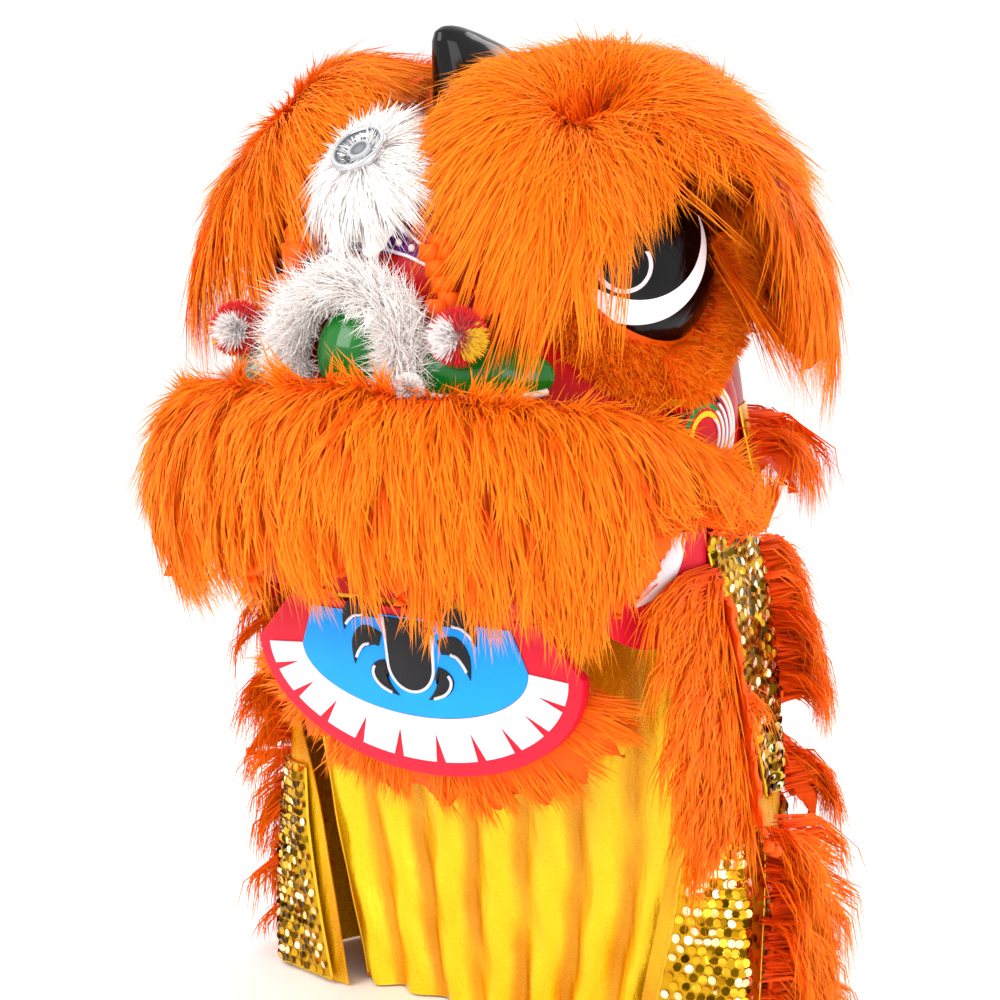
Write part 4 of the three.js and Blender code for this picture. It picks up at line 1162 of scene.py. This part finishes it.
def metal(name, colour, rough, brushed):
    bare = Finish(name, Metallic=1.0)
    place = bare.place()
    bare.feed("Base Color", bare.mix(bare.noise(place, 40), colour, tuple(c * 0.8 for c in colour)))
    bare.feed("Roughness", rough + bare.noise(place, brushed, 3) * rough)
    return bare.material


# The deep colour is used for the painted shade in the folds and where the crinkles sink.
YELLOW_SATIN = satin("yellow_satin", dye(255, 200, 0), dye(214, 140, 0))
WHITE_CORD = foam("white_cord", dye(250, 248, 250), dye(230, 226, 232))
GOLD_CORD = metal("gold_cord", dye(240, 190, 50), 0.22, 900)
STEEL = metal("steel", dye(150, 150, 152), 0.25, 300)
RED_FOAM = foam("red_foam", dye(236, 22, 54), dye(220, 14, 46))
WHITE_FOAM = foam("white_foam", dye(246, 244, 252), dye(232, 230, 244))
BLUE_FOAM = foam("blue_foam", dye(0, 166, 255), dye(0, 150, 250))
BLACK_FOAM = foam("black_foam", dye(14, 14, 18), dye(30, 30, 34))
print("finishes for faces, cloth and metal are mixed")

# %% [markdown]
# ## The shell
#
# Most of the shell hides under fur. The forehead shows: red lacquer with a purple field on each side
# of a V, white cords along the borders of the fields, and pearls between them. The fields
# come from the height and width of the spot, and the cords follow the same lines on the surface.

# %% The painted shell
def shell_surface(u, v):
    z = np.interp(v, [0, 0.97, 1], [0, 430, 437])
    open_ring = v < 0.999  # the last ring is drawn together to one point
    pinch = np.stack([open_ring, open_ring, np.ones_like(v)], -1)
    return ring(SHELL_ROWS, -180 + 360 * u, z, 0) * pinch


def forehead(paint, x, y, z, red):
    side = abs(x)
    above = (z + side * side * 2.2) > 0.308
    outside = (side - (z - 0.309) * 0.9) > 0
    below = (z + side * 0.9) < 0.369
    field = above * outside * below * (y < -0.12)
    return paint.mix(field, red, dye(88, 24, 118))


SHELL_THICK = 3
SHELL_PAINT = lacquer("shell_paint", dye(196, 4, 18), dye(164, 2, 14), rough=0.32,
                      coat_weight=0.04, gloss=0.12, pattern=forehead, backed=True)
shell = wall(close(grid("shell", shell_surface, 72, 36)), SHELL_THICK, -1)
dress(shell, "head_shell", "red_paint", SHELL_PAINT)


def on_shell(line, out=0.8):
    """Points over the forehead from rows of across and height."""
    line = np.array(line, float)
    half_width, front = (curve(SHELL_ROWS[:, 0], SHELL_ROWS[:, k], line[:, 1]) + out for k in (1, 2))
    share = np.abs(line[:, 0] / half_width)
    y = -front * np.maximum(1 - share ** SQUARENESS, 0) ** (1 / SQUARENESS)
    return np.stack([line[:, 0], y, line[:, 1]], -1)


FOREHEAD_LINES = [  # rows of across and height
    [(0, 309), (18, 311), (37, 307), (53, 302), (91, 285)],
    [(0, 309), (12, 320), (24, 336)],
    [(27, 344), (38, 331), (50, 321), (70, 306)],
    [(0, 309), (9, 300), (7, 284)],
]
lines = []
for line in FOREHEAD_LINES:
    for side in (1, -1):
        lines.append(on_shell(smooth_line(np.array(line) * np.array([side, 1]))))
piping("forehead_cords", lines, 3.6, WHITE_CORD, "white_foam")

PEARLS = [(20, 316), (36, 317), (50, 312), (71, 303)]
PEARL_RADIUS = 3.6
PEARL = lacquer("pearl", dye(250, 244, 240), dye(236, 226, 226), rough=0.12)
pearls = []
for place in on_shell([(side * x, z) for side in (1, -1) for x, z in PEARLS], 2.2):
    bpy.ops.object.select_all(action="DESELECT")
    bpy.ops.mesh.primitive_uv_sphere_add(
        segments=14, ring_count=8, radius=PEARL_RADIUS * MM, location=place * MM)
    with edit_mode(bpy.context.object):
        bpy.ops.transform.resize(value=(1, 0.8, 1))
    bpy.ops.object.transform_apply(location=True, rotation=True, scale=True)
    bpy.ops.object.shade_smooth()
    pearls.append(bpy.context.object)
pearls = join(*pearls)
pearls.name = "forehead_pearls"
dress(pearls, None, "white_foam", PEARL)

# %% [markdown]
# ## Horn, mirror, nose and eyes
#
# The horn is a bent cone, so its grid is wound round ovals that shift forward as they rise. Mirror
# and eyes are round, so a profile is spun about their axis, as on a lathe. The crescent of the
# eye is the space between two circles, painted in the plane of the eye.

# %% Horn and mirror
BLACK_LACQUER = lacquer("black_lacquer", dye(6, 6, 8), dye(14, 14, 16), rough=0.12,
                        coat_weight=0.1, gloss=0.25)
HORN = np.array([  # height, front, back, half width
    (395, -95, 122, 48), (440, -92, 100, 44), (470, -95, 76, 38), (490, -98, 38, 31),
    (505, -100, -2, 24), (514, -98, -38, 16), (519, -90, -62, 8), (520.5, -77, -77, 0),
], float)


def horn_surface(u, v):
    foot, top = HORN[0, 0], HORN[-1, 0]
    z = foot + (top - foot) * (1 - (1 - v) ** 1.6)
    front, back, half_width = (np.interp(z, HORN[:, 0], HORN[:, k]) for k in (1, 2, 3))
    a = 2 * math.pi * u
    y = (front + back) / 2 + (back - front) / 2 * np.sin(a)
    return np.stack([half_width * np.cos(a), y, z], -1)


horn = fill_ends(close(grid("horn_shaped", horn_surface, 40, 36)))
dress(horn, "horn", "black_gloss", BLACK_LACQUER)


def turned(name, profile, centre, axis, steps=56):
    """A profile of radius and height rows, spun round an axis."""
    profile = np.array(profile, float)
    mesh = bpy.data.meshes.new(name)
    points = [(r * MM, h * MM, 0) for r, h in profile]
    mesh.from_pydata(points, [(i, i + 1) for i in range(len(points) - 1)], [])
    piece = bpy.data.objects.new(name, mesh)
    bpy.context.scene.collection.objects.link(piece)
    with edit_mode(piece):
        bpy.ops.mesh.spin(steps=steps, angle=2 * math.pi, center=(0, 0, 0), axis=(0, 1, 0))
    spots = np.empty(len(mesh.vertices) * 3, np.float32)
    mesh.vertices.foreach_get("co", spots)
    placed = aimed(spots.reshape(-1, 3) / MM, np.array(centre), unit(np.array(axis, float)))
    mesh.vertices.foreach_set("co", (placed * MM).astype(np.float32).ravel())
    return close(piece)


MIRROR_AXIS = dome_axes(MIRROR_FUR)[0]
MIRROR_MIDDLE = np.array(MIRROR_FUR["centre"]) + 26.5 * MIRROR_AXIS
REFLECTION_RING_RADIUS = 0.03
# The chrome is painted with bright and dark rings round the middle of the mirror: painted reflections.
CHROME = Finish("chrome", Metallic=1.0)
sockets = {0: CHROME.place(), 1: tuple(MIRROR_MIDDLE * MM)}
place = CHROME.node("VectorMath", {"operation": "SUBTRACT"}, sockets)
apart = CHROME.node("VectorMath", {"operation": "LENGTH"}, {0: place}, out=1) / REFLECTION_RING_RADIUS
stops = [(0, dye(196, 200, 206)), (0.3, dye(120, 122, 128)), (0.4, dye(236, 238, 242)),
         (0.5, dye(70, 70, 76)), (0.66, dye(176, 178, 184)), (0.78, dye(84, 84, 90)),
         (0.88, dye(238, 240, 244)), (1, dye(150, 152, 158))]
CHROME.feed("Base Color", CHROME.node("ValToRGB", {"stops": stops}, {0: apart}))
CHROME.feed("Roughness", 0.08 + CHROME.noise(CHROME.place(), 160, 3) * 0.1)
MIRROR_PROFILE = [(0, 0), (24, 0), (27, 1.5), (28, 4), (28, 6.5), (26.5, 8.6), (24, 9), (22, 7.6),
                  (20, 4.6), (17, 3.2), (13.5, 3), (12.4, 4.4), (11, 6), (8, 5.6), (4, 5), (0, 4.8)]
mirror = turned("mirror_dish", MIRROR_PROFILE, MIRROR_MIDDLE, MIRROR_AXIS)
dress(mirror, "mirror", "chrome", CHROME.material)

# %% Nose ball and wings
def ball_surface(centre, radii, turn=0.0):
    def surface(u, v):
        a, b = 2 * math.pi * u, math.pi * v
        p = np.stack([np.sin(b) * np.cos(a), np.sin(b) * np.sin(a), np.cos(b)], -1) * np.array(radii)
        x = p[:, 0] * math.cos(turn) - p[:, 1] * math.sin(turn)
        y = p[:, 0] * math.sin(turn) + p[:, 1] * math.cos(turn)
        return np.stack([x, y, p[:, 2]], -1) + np.array(centre)
    return surface


GREEN_LACQUER = lacquer("green_lacquer", dye(0, 122, 34), dye(0, 96, 26), rough=0.14,
                        coat_weight=0.3, gloss=0.3)
nose = close(grid("nose_shaped", ball_surface((0, -208, 215), (46, 44, 50)), 48, 28))
dress(nose, "nose_ball", "green_gloss", GREEN_LACQUER)

WING_CENTRE, WING_RADII, WING_TURN = np.array([124, -202, 200.0]), (68, 26, 30), 0.5
CREAM_CORD = foam("cream_cord", dye(246, 232, 214), dye(236, 214, 196))
wing_ball = ball_surface(WING_CENTRE, WING_RADII, WING_TURN)
rims = []
for word, side in SIDES:
    leaf = close(grid(f"nose_wing_{word}_leaf", mirrored(wing_ball, side), 44, 24))
    dress(leaf, f"nose_wing_{word}", "green_gloss", GREEN_LACQUER)
    share = np.linspace(0.06, 0.94, 30)
    low = wing_ball(0.5 + share / 2, np.interp(share, [0, 0.5, 1], [0.62, 0.74, 0.62]))
    rims.append(to_side(side, low + np.array([0.5, -1.5, -1]))[0])
piping("nose_wing_rims", rims, 7, CREAM_CORD, "white_fur")

# %% Eyes
EYE_PROFILE = [(0, 34), (16, 33.4), (33.6, 30), (48, 25.4), (58.8, 20.4), (68, 14), (75.6, 6.5),
               (80.5, -1), (83, -7), (84, -14), (84, -64)]


def eye_circle(u, v, across, up):
    return ((u - across) ** 2 + (v - up) ** 2) ** 0.5


def crescent(paint, x, y, z, black):
    u, v = beside_eye(x, y, z)
    white = (eye_circle(u, v, -0.025, 0.025) < 0.079) * (eye_circle(u, v, -0.026, 0.043) > 0.0745)
    thin = eye_circle(u, v, -0.042, 0.0)
    line = (thin < 0.0255) * (thin > 0.0215) * (v < 0.012)
    mixed = paint.mix(white * (v < 0.045), black, dye(250, 244, 246))
    return paint.mix(line, mixed, dye(240, 222, 226))


EYE_PAINT = lacquer("eye_paint", dye(6, 6, 8), dye(12, 12, 14), rough=0.1,
                    coat_weight=0.08, gloss=0.2, pattern=crescent)
for word, side in SIDES:
    flip = np.array([side, 1, 1])
    dome = turned(f"eye_{word}_dome", EYE_PROFILE, EYE_CENTRE * flip, EYE_AXIS * flip)
    dress(dome, f"eye_{word}", "black_gloss", EYE_PAINT)

# %% [markdown]
# ## Cheeks, mouth boards and fangs
#
# Behind the eye lid each cheek bulges, painted red with nested bows in gold, black, green and
# yellow and white cords between them. Beside the mouth a red board curves with the shell and
# carries a long white fang, rounded on its outside.

# %% Cheeks
BOWS = {"middle": (-25, 138), "cords": (52.5, 45, 36, 28, 20)}


def bows(paint, x, y, z, red):
    apart = ((y - BOWS["middle"][0] * MM) ** 2 + (z - BOWS["middle"][1] * MM) ** 2) ** 0.5
    bands = [(45, 52.5, dye(236, 178, 30)), (36, 41, dye(16, 14, 16)), (28, 33, dye(20, 130, 60)),
             (20, 25, dye(250, 206, 30))]
    for near, far, colour in bands:
        red = paint.mix((apart > near * MM) * (apart < far * MM), red, colour)
    return red


CHEEK_PAINT = lacquer("cheek_paint", dye(208, 12, 26), dye(184, 8, 22), rough=0.3,
                      coat_weight=0.05, gloss=0.12, pattern=bows, backed=True)


def on_cheek(y, z, out=1.0):
    """Points on the bulge of the right cheek by depth and height."""
    c, r = CHEEK["centre"], CHEEK["radii"]
    inside = 1 - ((y - c[1]) / r[1]) ** 2 - ((z - c[2]) / r[2]) ** 2
    return np.stack([c[0] + out + r[0] * np.sqrt(np.maximum(inside, 0.02)), y, z], -1)


def cheek_surface(u, v):
    p = ball_surface(CHEEK["centre"], CHEEK["radii"])(u, v)
    p[:, 1] = np.maximum(p[:, 1], CHEEK["front"])
    return p


turn = np.radians(np.linspace(-84, 58, 40))
bow_lines = []
for word, side in SIDES:
    cheek = close(grid(f"cheek_{word}_bulge", mirrored(cheek_surface, side), 44, 26))
    dress(cheek, f"cheek_{word}", "red_paint", CHEEK_PAINT)
    for radius in BOWS["cords"]:
        y = BOWS["middle"][0] + radius * np.cos(turn)
        z = BOWS["middle"][1] + radius * np.sin(turn)
        seen = y > CHEEK["front"] + 2
        bow_lines.append(to_side(side, on_cheek(y[seen], z[seen]))[0])
piping("cheek_cords", bow_lines, 3.2, WHITE_CORD, "white_foam")

# %% Mouth boards and fangs
BOARD_THICK = 4


def side_point(y, z, out):
    """A point beside the mouth, at a distance off the curve of the shell."""
    x = (238 + out) * (1 - np.abs(y / (262 + out)) ** SQUARENESS) ** (1 / SQUARENESS)
    return np.stack([x, y, z], -1)


def board_surface(u, v):
    across = 2 * u - 1
    tall = 76 * np.sqrt(1 - 0.9 * across * across)
    return side_point(-82 + 76 * across, 24 + tall * (2 * v - 1), 3.0)


def fang_surface(u, v):
    t, a = v, 2 * math.pi * u
    bow = 16 * np.sin(math.pi * t)
    half = (0.6 + 12 * np.sin(math.pi * t)) * np.cos(a)
    y = -44 - 68 * t + 0.77 * bow + 0.77 * half
    z = 78 - 90 * t - 0.63 * bow - 0.63 * half
    return side_point(y, z, 5.5 + 6 * np.maximum(np.sin(a), 0) * np.sin(math.pi * t) ** 0.5)


FANG_WHITE = lacquer("fang_white", dye(250, 250, 252), dye(236, 236, 242), rough=0.3, coat_weight=0.3)
for word, side in SIDES:
    board = grid(f"mouth_side_{word}_board", mirrored(board_surface, side), 36, 24)
    dress(wall(board, BOARD_THICK), f"mouth_side_{word}", "red_paint", RED_FOAM)
    tooth = close(grid(f"fang_{word}_tooth", mirrored(fang_surface, side), 24, 30))
    dress(fill_ends(tooth), f"fang_{word}", "white_foam", FANG_WHITE)

# %% [markdown]
# ## The jaw
#
# The lower jaw is a thick red board with thinner sheets glued on it: a band of teeth with pointed
# gaps, a blue floor, a black tongue with a white border and black flames beside it. Each
# sheet starts as a filled circle, takes its outline point by point, and is extruded to its thickness.
# All of it rides on the jaw.

# %% Sheets of the jaw
SHEET = (12.5, 14)  # height of both faces of the thin sheets off the back of the board
TEETH_INSET, TEETH_FOOT, FLOOR_INSET = 15, 59, 59.6
TEETH, GAP_HALF, GAP_LONG = 11, 0.033, 30
SLEEVE_AT, SLEEVE_RADIUS, SLEEVE_LONG, SLEEVE_WALL = 120, 9, 50, 4.2


def plate(name, outline, low, high, rounding=0.4):
    """A flat piece on the jaw, given by its outline in across and down from the pin."""
    outline = np.array(outline, float)
    bpy.ops.object.select_all(action="DESELECT")
    bpy.ops.mesh.primitive_circle_add(vertices=len(outline), radius=0.1, fill_type="NGON")
    piece = bpy.context.object
    piece.name = piece.data.name = name
    points = on_jaw(outline[:, 0], low, outline[:, 1]) * MM
    piece.data.vertices.foreach_set("co", points.astype(np.float32).ravel())
    rise = tuple(float(c) for c in (on_jaw(0, high, 0) - on_jaw(0, low, 0)) * MM)
    with edit_mode(piece):
        bpy.ops.mesh.extrude_region_move(TRANSFORM_OT_translate={"value": rise})
        bpy.ops.mesh.select_all(action="SELECT")
        bpy.ops.mesh.normals_make_consistent(inside=False)
    bevel = piece.modifiers.new("soft_edge", "BEVEL")
    bevel.width = rounding * MM
    bevel.segments = 2
    bevel.limit_method = "ANGLE"
    bevel.angle_limit = SHARP
    apply_all(piece)
    bpy.ops.object.shade_smooth_by_angle(angle=math.radians(35))
    return piece


def jaw_outline(inset, top, top_width):
    across, down = jaw_edge(np.linspace(0, math.pi, 61), inset)
    lower = np.stack([across, down], -1)
    return np.concatenate([[(-top_width, top), (top_width, top)], lower])


board = plate("jaw_board_cut", jaw_outline(0, 16, 150), 0, JAW_THICK, 1.5)
sleeves = []
for side in (1, -1):
    bpy.ops.object.select_all(action="DESELECT")
    middle = (SLEEVE_AT * side * MM, JAW_PIN[1] * MM, JAW_PIN[2] * MM)
    bpy.ops.mesh.primitive_cylinder_add(
        vertices=28, radius=SLEEVE_RADIUS * MM, depth=SLEEVE_LONG * MM, end_fill_type="NOTHING",
        location=middle, rotation=(0, math.pi / 2, 0))
    sleeve = bpy.context.object
    bpy.ops.object.transform_apply(location=True, rotation=True, scale=True)
    sleeves.append(wall(sleeve, SLEEVE_WALL, -1))
    web = [(SLEEVE_AT * side + dx, d) for dx, d in [(-25, 7), (25, 7), (25, 20), (-25, 20)]]
    sleeves.append(plate("web", web, 2, 10))
dress(join(board, *sleeves), "jaw_board", "red_foam", RED_FOAM, "jaw")

band = []
for k in range(TEETH + 1):
    t = math.pi * k / TEETH
    if k > 0:
        band.append(jaw_edge(t - GAP_HALF, TEETH_INSET))
    if 0 < k < TEETH:
        band.append(jaw_edge(t, TEETH_INSET + GAP_LONG))
    if k < TEETH:
        shares = (GAP_HALF * TEETH / math.pi, 0.35, 0.5, 0.65)
        band += [jaw_edge(t + math.pi / TEETH * s, TEETH_INSET) for s in shares]
band += [jaw_edge(math.pi * k / 48, TEETH_FOOT) for k in range(48, -1, -1)]
dress(plate("jaw_teeth_sheet", band, *SHEET), "jaw_teeth", "white_foam", WHITE_FOAM, "jaw")
blue = plate("jaw_floor_sheet", jaw_outline(FLOOR_INSET, 24, 120), *SHEET)
dress(blue, "jaw_floor", "blue_foam", BLUE_FOAM, "jaw")

# %% Tongue and flames
def tongue_end(radius):
    """The half circle that the tongue ends in."""
    turn = np.linspace(0, math.pi, 31)
    return np.stack([radius * np.cos(turn), 70 + radius * np.sin(turn)], -1)


tongue = np.concatenate([[(-30, 26), (30, 26)], tongue_end(28)])
dress(plate("jaw_tongue_sheet", tongue, 14.5, 16), "jaw_tongue", "black_foam", BLACK_FOAM, "jaw")
border = np.concatenate([[(29.5, 26)], tongue_end(27.5), [(-29.5, 26)]])
lines = [on_jaw(border[:, 0], 15.6, border[:, 1])]

FLAMES = [  # foot, the point that it bends towards, and tip, in across and down
    ((36, 22), (74, 10), (80, 44)),
    ((36, 50), (66, 38), (70, 78)),
    ((30, 76), (54, 84), (18, 104)),
]
flames = []
for a, b, c in FLAMES:
    t = np.linspace(0, 1, 20)[:, None]
    middle = (1 - t) ** 2 * np.array(a) + 2 * t * (1 - t) * np.array(b) + t * t * np.array(c)
    along = unit(np.gradient(middle, axis=0))
    across = np.stack([-along[:, 1], along[:, 0]], -1)
    half = np.interp(t, [0, 0.35, 0.7, 1], [7, 11, 7, 0.2])
    outline = np.concatenate([middle + across * half, (middle - across * half)[::-1]])
    for side in (1, -1):
        turned_round = outline * np.array([side, 1])
        flames.append(plate("flame", turned_round if side > 0 else turned_round[::-1], 14.2, 15.2, 0.2))
        shine = (middle + across * half * 0.75 * (1 if c[0] > 40 else -1))[5:18]
        lines.append(on_jaw(shine[:, 0] * side, 15.4, shine[:, 1]))
flames = join(*flames)
flames.name = "jaw_flames"
dress(flames, None, "black_foam", BLACK_FOAM, "jaw")
piping("jaw_white_lines", lines, 3.2, WHITE_FOAM, "white_foam", "jaw")

# %% [markdown]
# ## Satin: bib, cape and collar
#
# The bib hangs from a rail across the mouth and falls in broad upright folds. The cape skirt hangs
# round the back, and a gathered collar covers the joint below the shell. Their folds are
# waves in the grid, with smaller crinkles across them, and every sheet says how large it was cut.

# %% Satin sheets
BIB_ROWS = np.array([  # height, half width, standing, depth of the folds
    (-470, 178, -4, 15), (-360, 202, -8, 14), (-250, 220, -14, 12), (-120, 226, -30, 7),
    (-8, 222, -45.3, 0.2),
], float)
CAPE_EDGE = np.array([  # height, angle of the front edge
    (-470, 35), (-360, 42), (-250, 52), (-100, 84), (52, 97),
], float)
FOLD_WINDOW, FOLD_DEPTH = 9, 0.008


def bib_surface(u, v):
    z = -8 - 462 * v
    half_width, standing, fold = (curve(BIB_ROWS[:, 0], BIB_ROWS[:, k], z) for k in (1, 2, 3))
    wave = np.cos(2 * math.pi * 7 * u + 0.6 * np.sin(5 * u) + 0.5 * np.sin(4 * v + 3 * u))
    crinkle = np.sin(38 * u + 23 * v) * np.sin(9 * v - 14 * u) + 0.6 * np.sin(61 * u - 31 * v)
    y = standing + 0.55 * fold * wave + 2.8 * crinkle * v
    return np.stack([half_width * (2 * u - 1), y, z], -1)


def cape_surface(u, v):
    z = 52 - 522 * v
    edge = curve(CAPE_EDGE[:, 0], CAPE_EDGE[:, 1], z)
    return ring(CAPE_ROWS, edge + (360 - 2 * edge) * u, z, 1)


def collar_surface(u, v):
    gather = 4 * v * np.cos(20 * math.pi * u) + 4 * v + 1.2 * np.sin(90 * u + 4 * v) * v * (1 - v)
    return ring(SHELL_ROWS, 108 + 144 * u, 160 - 102 * v, 1.5 + 14 * v * v + gather)


def cut_size(surface, n=120):
    """The size that a sheet had when it was cut: width, length and area, in metres."""
    u, v = np.meshgrid(np.linspace(0, 1, n), np.linspace(0, 1, n))
    p = surface(u.ravel(), v.ravel()).reshape(n, n, 3) * MM
    across, down = np.diff(p, axis=1), np.diff(p, axis=0)
    width, length = (np.linalg.norm(d, axis=2).sum(k).max() for d, k in ((across, 1), (down, 0)))
    area = np.linalg.norm(np.cross(across[:-1], down[:, :-1]), axis=2).sum()
    return (round(float(width), 3), round(float(length), 3)), round(float(area), 4)


def mark_folds(sheet, columns, rows):
    """Writes how deep each point lies in a fold, against the smooth run of the cloth beside it."""
    spots = np.empty(len(sheet.data.vertices) * 3, np.float32)
    sheet.data.vertices.foreach_get("co", spots)
    depth = spots.reshape(rows + 1, columns + 1, 3)[..., 1]
    window = range(-FOLD_WINDOW, FOLD_WINDOW + 1)
    beside = np.stack([np.roll(depth, k, 1) for k in window]).mean(0)
    sign = np.sign(beside.mean())
    fold = np.clip((depth - beside) * -sign / FOLD_DEPTH, -1, 1)
    marks = sheet.data.attributes.new("fold", "FLOAT", "POINT")
    marks.data.foreach_set("value", fold.astype(np.float32).ravel())


def hang(node, surface, columns, rows, slot, material, held, rests_on, with_pieces=()):
    """A cloth sheet with its folds and wall, and what it was cut from; what it hangs on is not used."""
    sheet = grid(node + "_cloth", surface, columns, rows)
    mark_folds(sheet, columns, rows)
    wall(sheet, CLOTH_THICK)
    dress(sheet, node, slot, material)
    flat, area = cut_size(surface)
    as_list(rests_on)
    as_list(with_pieces)
    print(f"  cut {flat[0]} by {flat[1]} m")
    return sheet


def edge_lines(surface, shares, points=40, out=1.2):
    """Lines down the side edges of a sheet."""
    v = np.linspace(0.01, 0.99, points)
    return [surface(np.full(points, float(u)), v) - np.array([0, out, 0]) for u in shares]


PIPING = 4
edges = edge_lines(bib_surface, (0.004, 0.996))
bib_cords = piping("bib_cords", edges, PIPING, GOLD_CORD, "sequin")
hang("bib", bib_surface, 100, 40, "satin", YELLOW_SATIN, "gathered", ["bib_rail"],
     with_pieces=[bib_cords])
hang("cape_skirt", cape_surface, 90, 24, "satin", YELLOW_SATIN, "hung", ["head_shell"])
edges = edge_lines(collar_surface, (0.003, 0.997))
collar_cords = piping("collar_cords", edges, PIPING, GOLD_CORD, "sequin")
hang("collar", collar_surface, 140, 14, "satin", YELLOW_SATIN, "gathered", ["head_shell"],
     with_pieces=[collar_cords])

# %% [markdown]
# ## Sequin panels
#
# Panels of gold cloth lie on the cape, sewn over with rows of round sequins and edged with gold
# cord. A sequin is a small cup on one thread, so each tilts its own way; each cup also takes a colour
# at random from dark brown through gold to near white, painted shade and painted glints, so some
# flash while others stay dark. One cup has eight faces, and all cups of a panel are laid out at once.

# %% Sequin panels
GOLD_CLOTH = metal("gold_cloth", dye(222, 168, 34), 0.3, 1400)
SEQUIN = Finish("sequins", Metallic=1.0, Roughness=0.16)
own = SEQUIN.node("SeparateXYZ", None, {0: SEQUIN.node("UVMap", {"uv_map": "OFBake"})})
# The dark and near-white ends of this ramp are painted shade and painted glints; the golds between are
# the sequins' own colour.
stops = [(0, dye(62, 44, 6)), (0.3, dye(120, 88, 14)), (0.38, dye(214, 160, 28)),
         (0.7, dye(240, 194, 56)), (0.78, dye(255, 238, 170)), (1, dye(255, 250, 225))]
SEQUIN.feed("Base Color", SEQUIN.node("ValToRGB", {"stops": stops}, {0: own}))
PANELS = [  # name, top, foot, angles of the edges, their swing by the foot, peak, whether on both sides
    ("lappet_upper", 30, -212, 86, 124, 12, -12, 20, True),
    ("lappet_lower", -240, -466, 55, 98, -17, -6, 0, True),
    ("lappet_back_upper", 20, -190, 140, 220, 0, 0, 0, False),
    ("lappet_back_lower", -240, -464, 112, 248, 0, 0, 0, False),
]
PITCH, SEQUIN_RADIUS, CUP_SIDES = 11.0, 4.3, 8


def panel_surface(top, foot, start, end, swing_a, swing_b, peak, side):
    def surface(u, v):
        a = start + swing_a * v + (end + swing_b * v - start - swing_a * v) * u
        peaks = np.abs(np.sin(2 * math.pi * np.clip(u, 0, 1))) ** 0.7
        z = top + (foot - top) * v + peak * (1 - v) * peaks
        if side:
            crease = 2.5 * (1 + np.sin(2 * math.pi * 1.5 * u + 2 * v))
        else:
            crease = 1.2 * (1 + np.sin(14 * math.pi * u))
        return ring(CAPE_ROWS, a, z, 5.2 + crease * np.minimum(1, 4 * v)) * np.array([side or 1, 1, 1])
    return surface


def sequins(name, surface, rng):
    """Cups in staggered rows over a sheet."""
    (width, length), _ = cut_size(surface, 60)
    columns, rows = int(width / MM / PITCH), int(length / MM / (PITCH * 0.87))
    i, j = np.meshgrid(np.arange(columns), np.arange(rows))
    u, v = ((i + 0.5 + 0.5 * (j % 2)) / (columns + 0.5)).ravel(), ((j + 0.5) / rows).ravel()
    inside = (u > 0.02) & (u < 0.98)
    u, v = u[inside], v[inside]
    step = 0.002
    p = surface(u, v)
    across, down = surface(u + step, v) - p, surface(u, v + step) - p
    normal = unit(np.cross(across, down))
    normal *= np.sign((normal * (p * np.array([1, 1, 0]))).sum(1, keepdims=True))
    tilted = unit(normal + rng.normal(0, 0.22, p.shape))
    a1 = unit(np.cross(tilted, np.array([0, 0, 1.0])))
    a2 = np.cross(tilted, a1)
    turn = 2 * math.pi * np.arange(CUP_SIDES)[:, None] / CUP_SIDES
    rim = (a1[:, None] * np.cos(turn) + a2[:, None] * np.sin(turn)) * SEQUIN_RADIUS
    seat = p + normal * 2.2
    cups = np.concatenate([seat[:, None] + rim + tilted[:, None] * 0.7, seat[:, None]], 1)
    n = len(cups)
    corners = np.array([(CUP_SIDES, k, (k + 1) % CUP_SIDES) for k in range(CUP_SIDES)])
    loops = (np.arange(n)[:, None, None] * (CUP_SIDES + 1) + corners).reshape(-1)
    # A random number for each cup picks its colour from that ramp, including painted glints and painted
    # shade.
    colour = np.repeat(rng.random(n), 3 * CUP_SIDES)
    maps = np.stack([colour, np.full_like(colour, 0.5)], -1)
    made = mesh_from_arrays(name, cups.reshape(-1, 3), loops, np.full(n * CUP_SIDES, 3), maps)
    print(f"{name}: {n} sequins")
    return dress(made, None, "sequin", SEQUIN.material)


for panel, top, foot, start, end, swing_a, swing_b, peak, paired in PANELS:
    for word, side in SIDES if paired else [("", 0)]:
        node = f"{panel}_{word}" if paired else panel
        surface = panel_surface(top, foot, start, end, swing_a, swing_b, peak, side)
        rng = np.random.default_rng(abs(foot) + side)
        cups = sequins(node + "_sequins", surface, rng)
        u = np.linspace(0.001, 0.999, 40)
        top_line, foot_line = surface(u, np.full(40, 0.002)), surface(u, np.full(40, 0.998))
        edges = edge_lines(surface, (0.002, 0.998), out=0) + [top_line, foot_line]
        cords = piping(node + "_cords", edges, PIPING, GOLD_CORD, "sequin")
        hang(node, surface, 48, 20, "sequin", GOLD_CLOTH, "hung", ["cape_skirt"],
             with_pieces=[cups, cords])

# %% Rods
for rod in ("bib_rail", "jaw_pin"):
    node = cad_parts[rod]
    for slot in node.material_slots:
        slot.material = STEEL
print("rods have their steel")

# %% Sizes and close
size = {"cad": [list(c) for c in CAD_BOX], "visual": [list(c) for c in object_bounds()]}
print("size:", size)
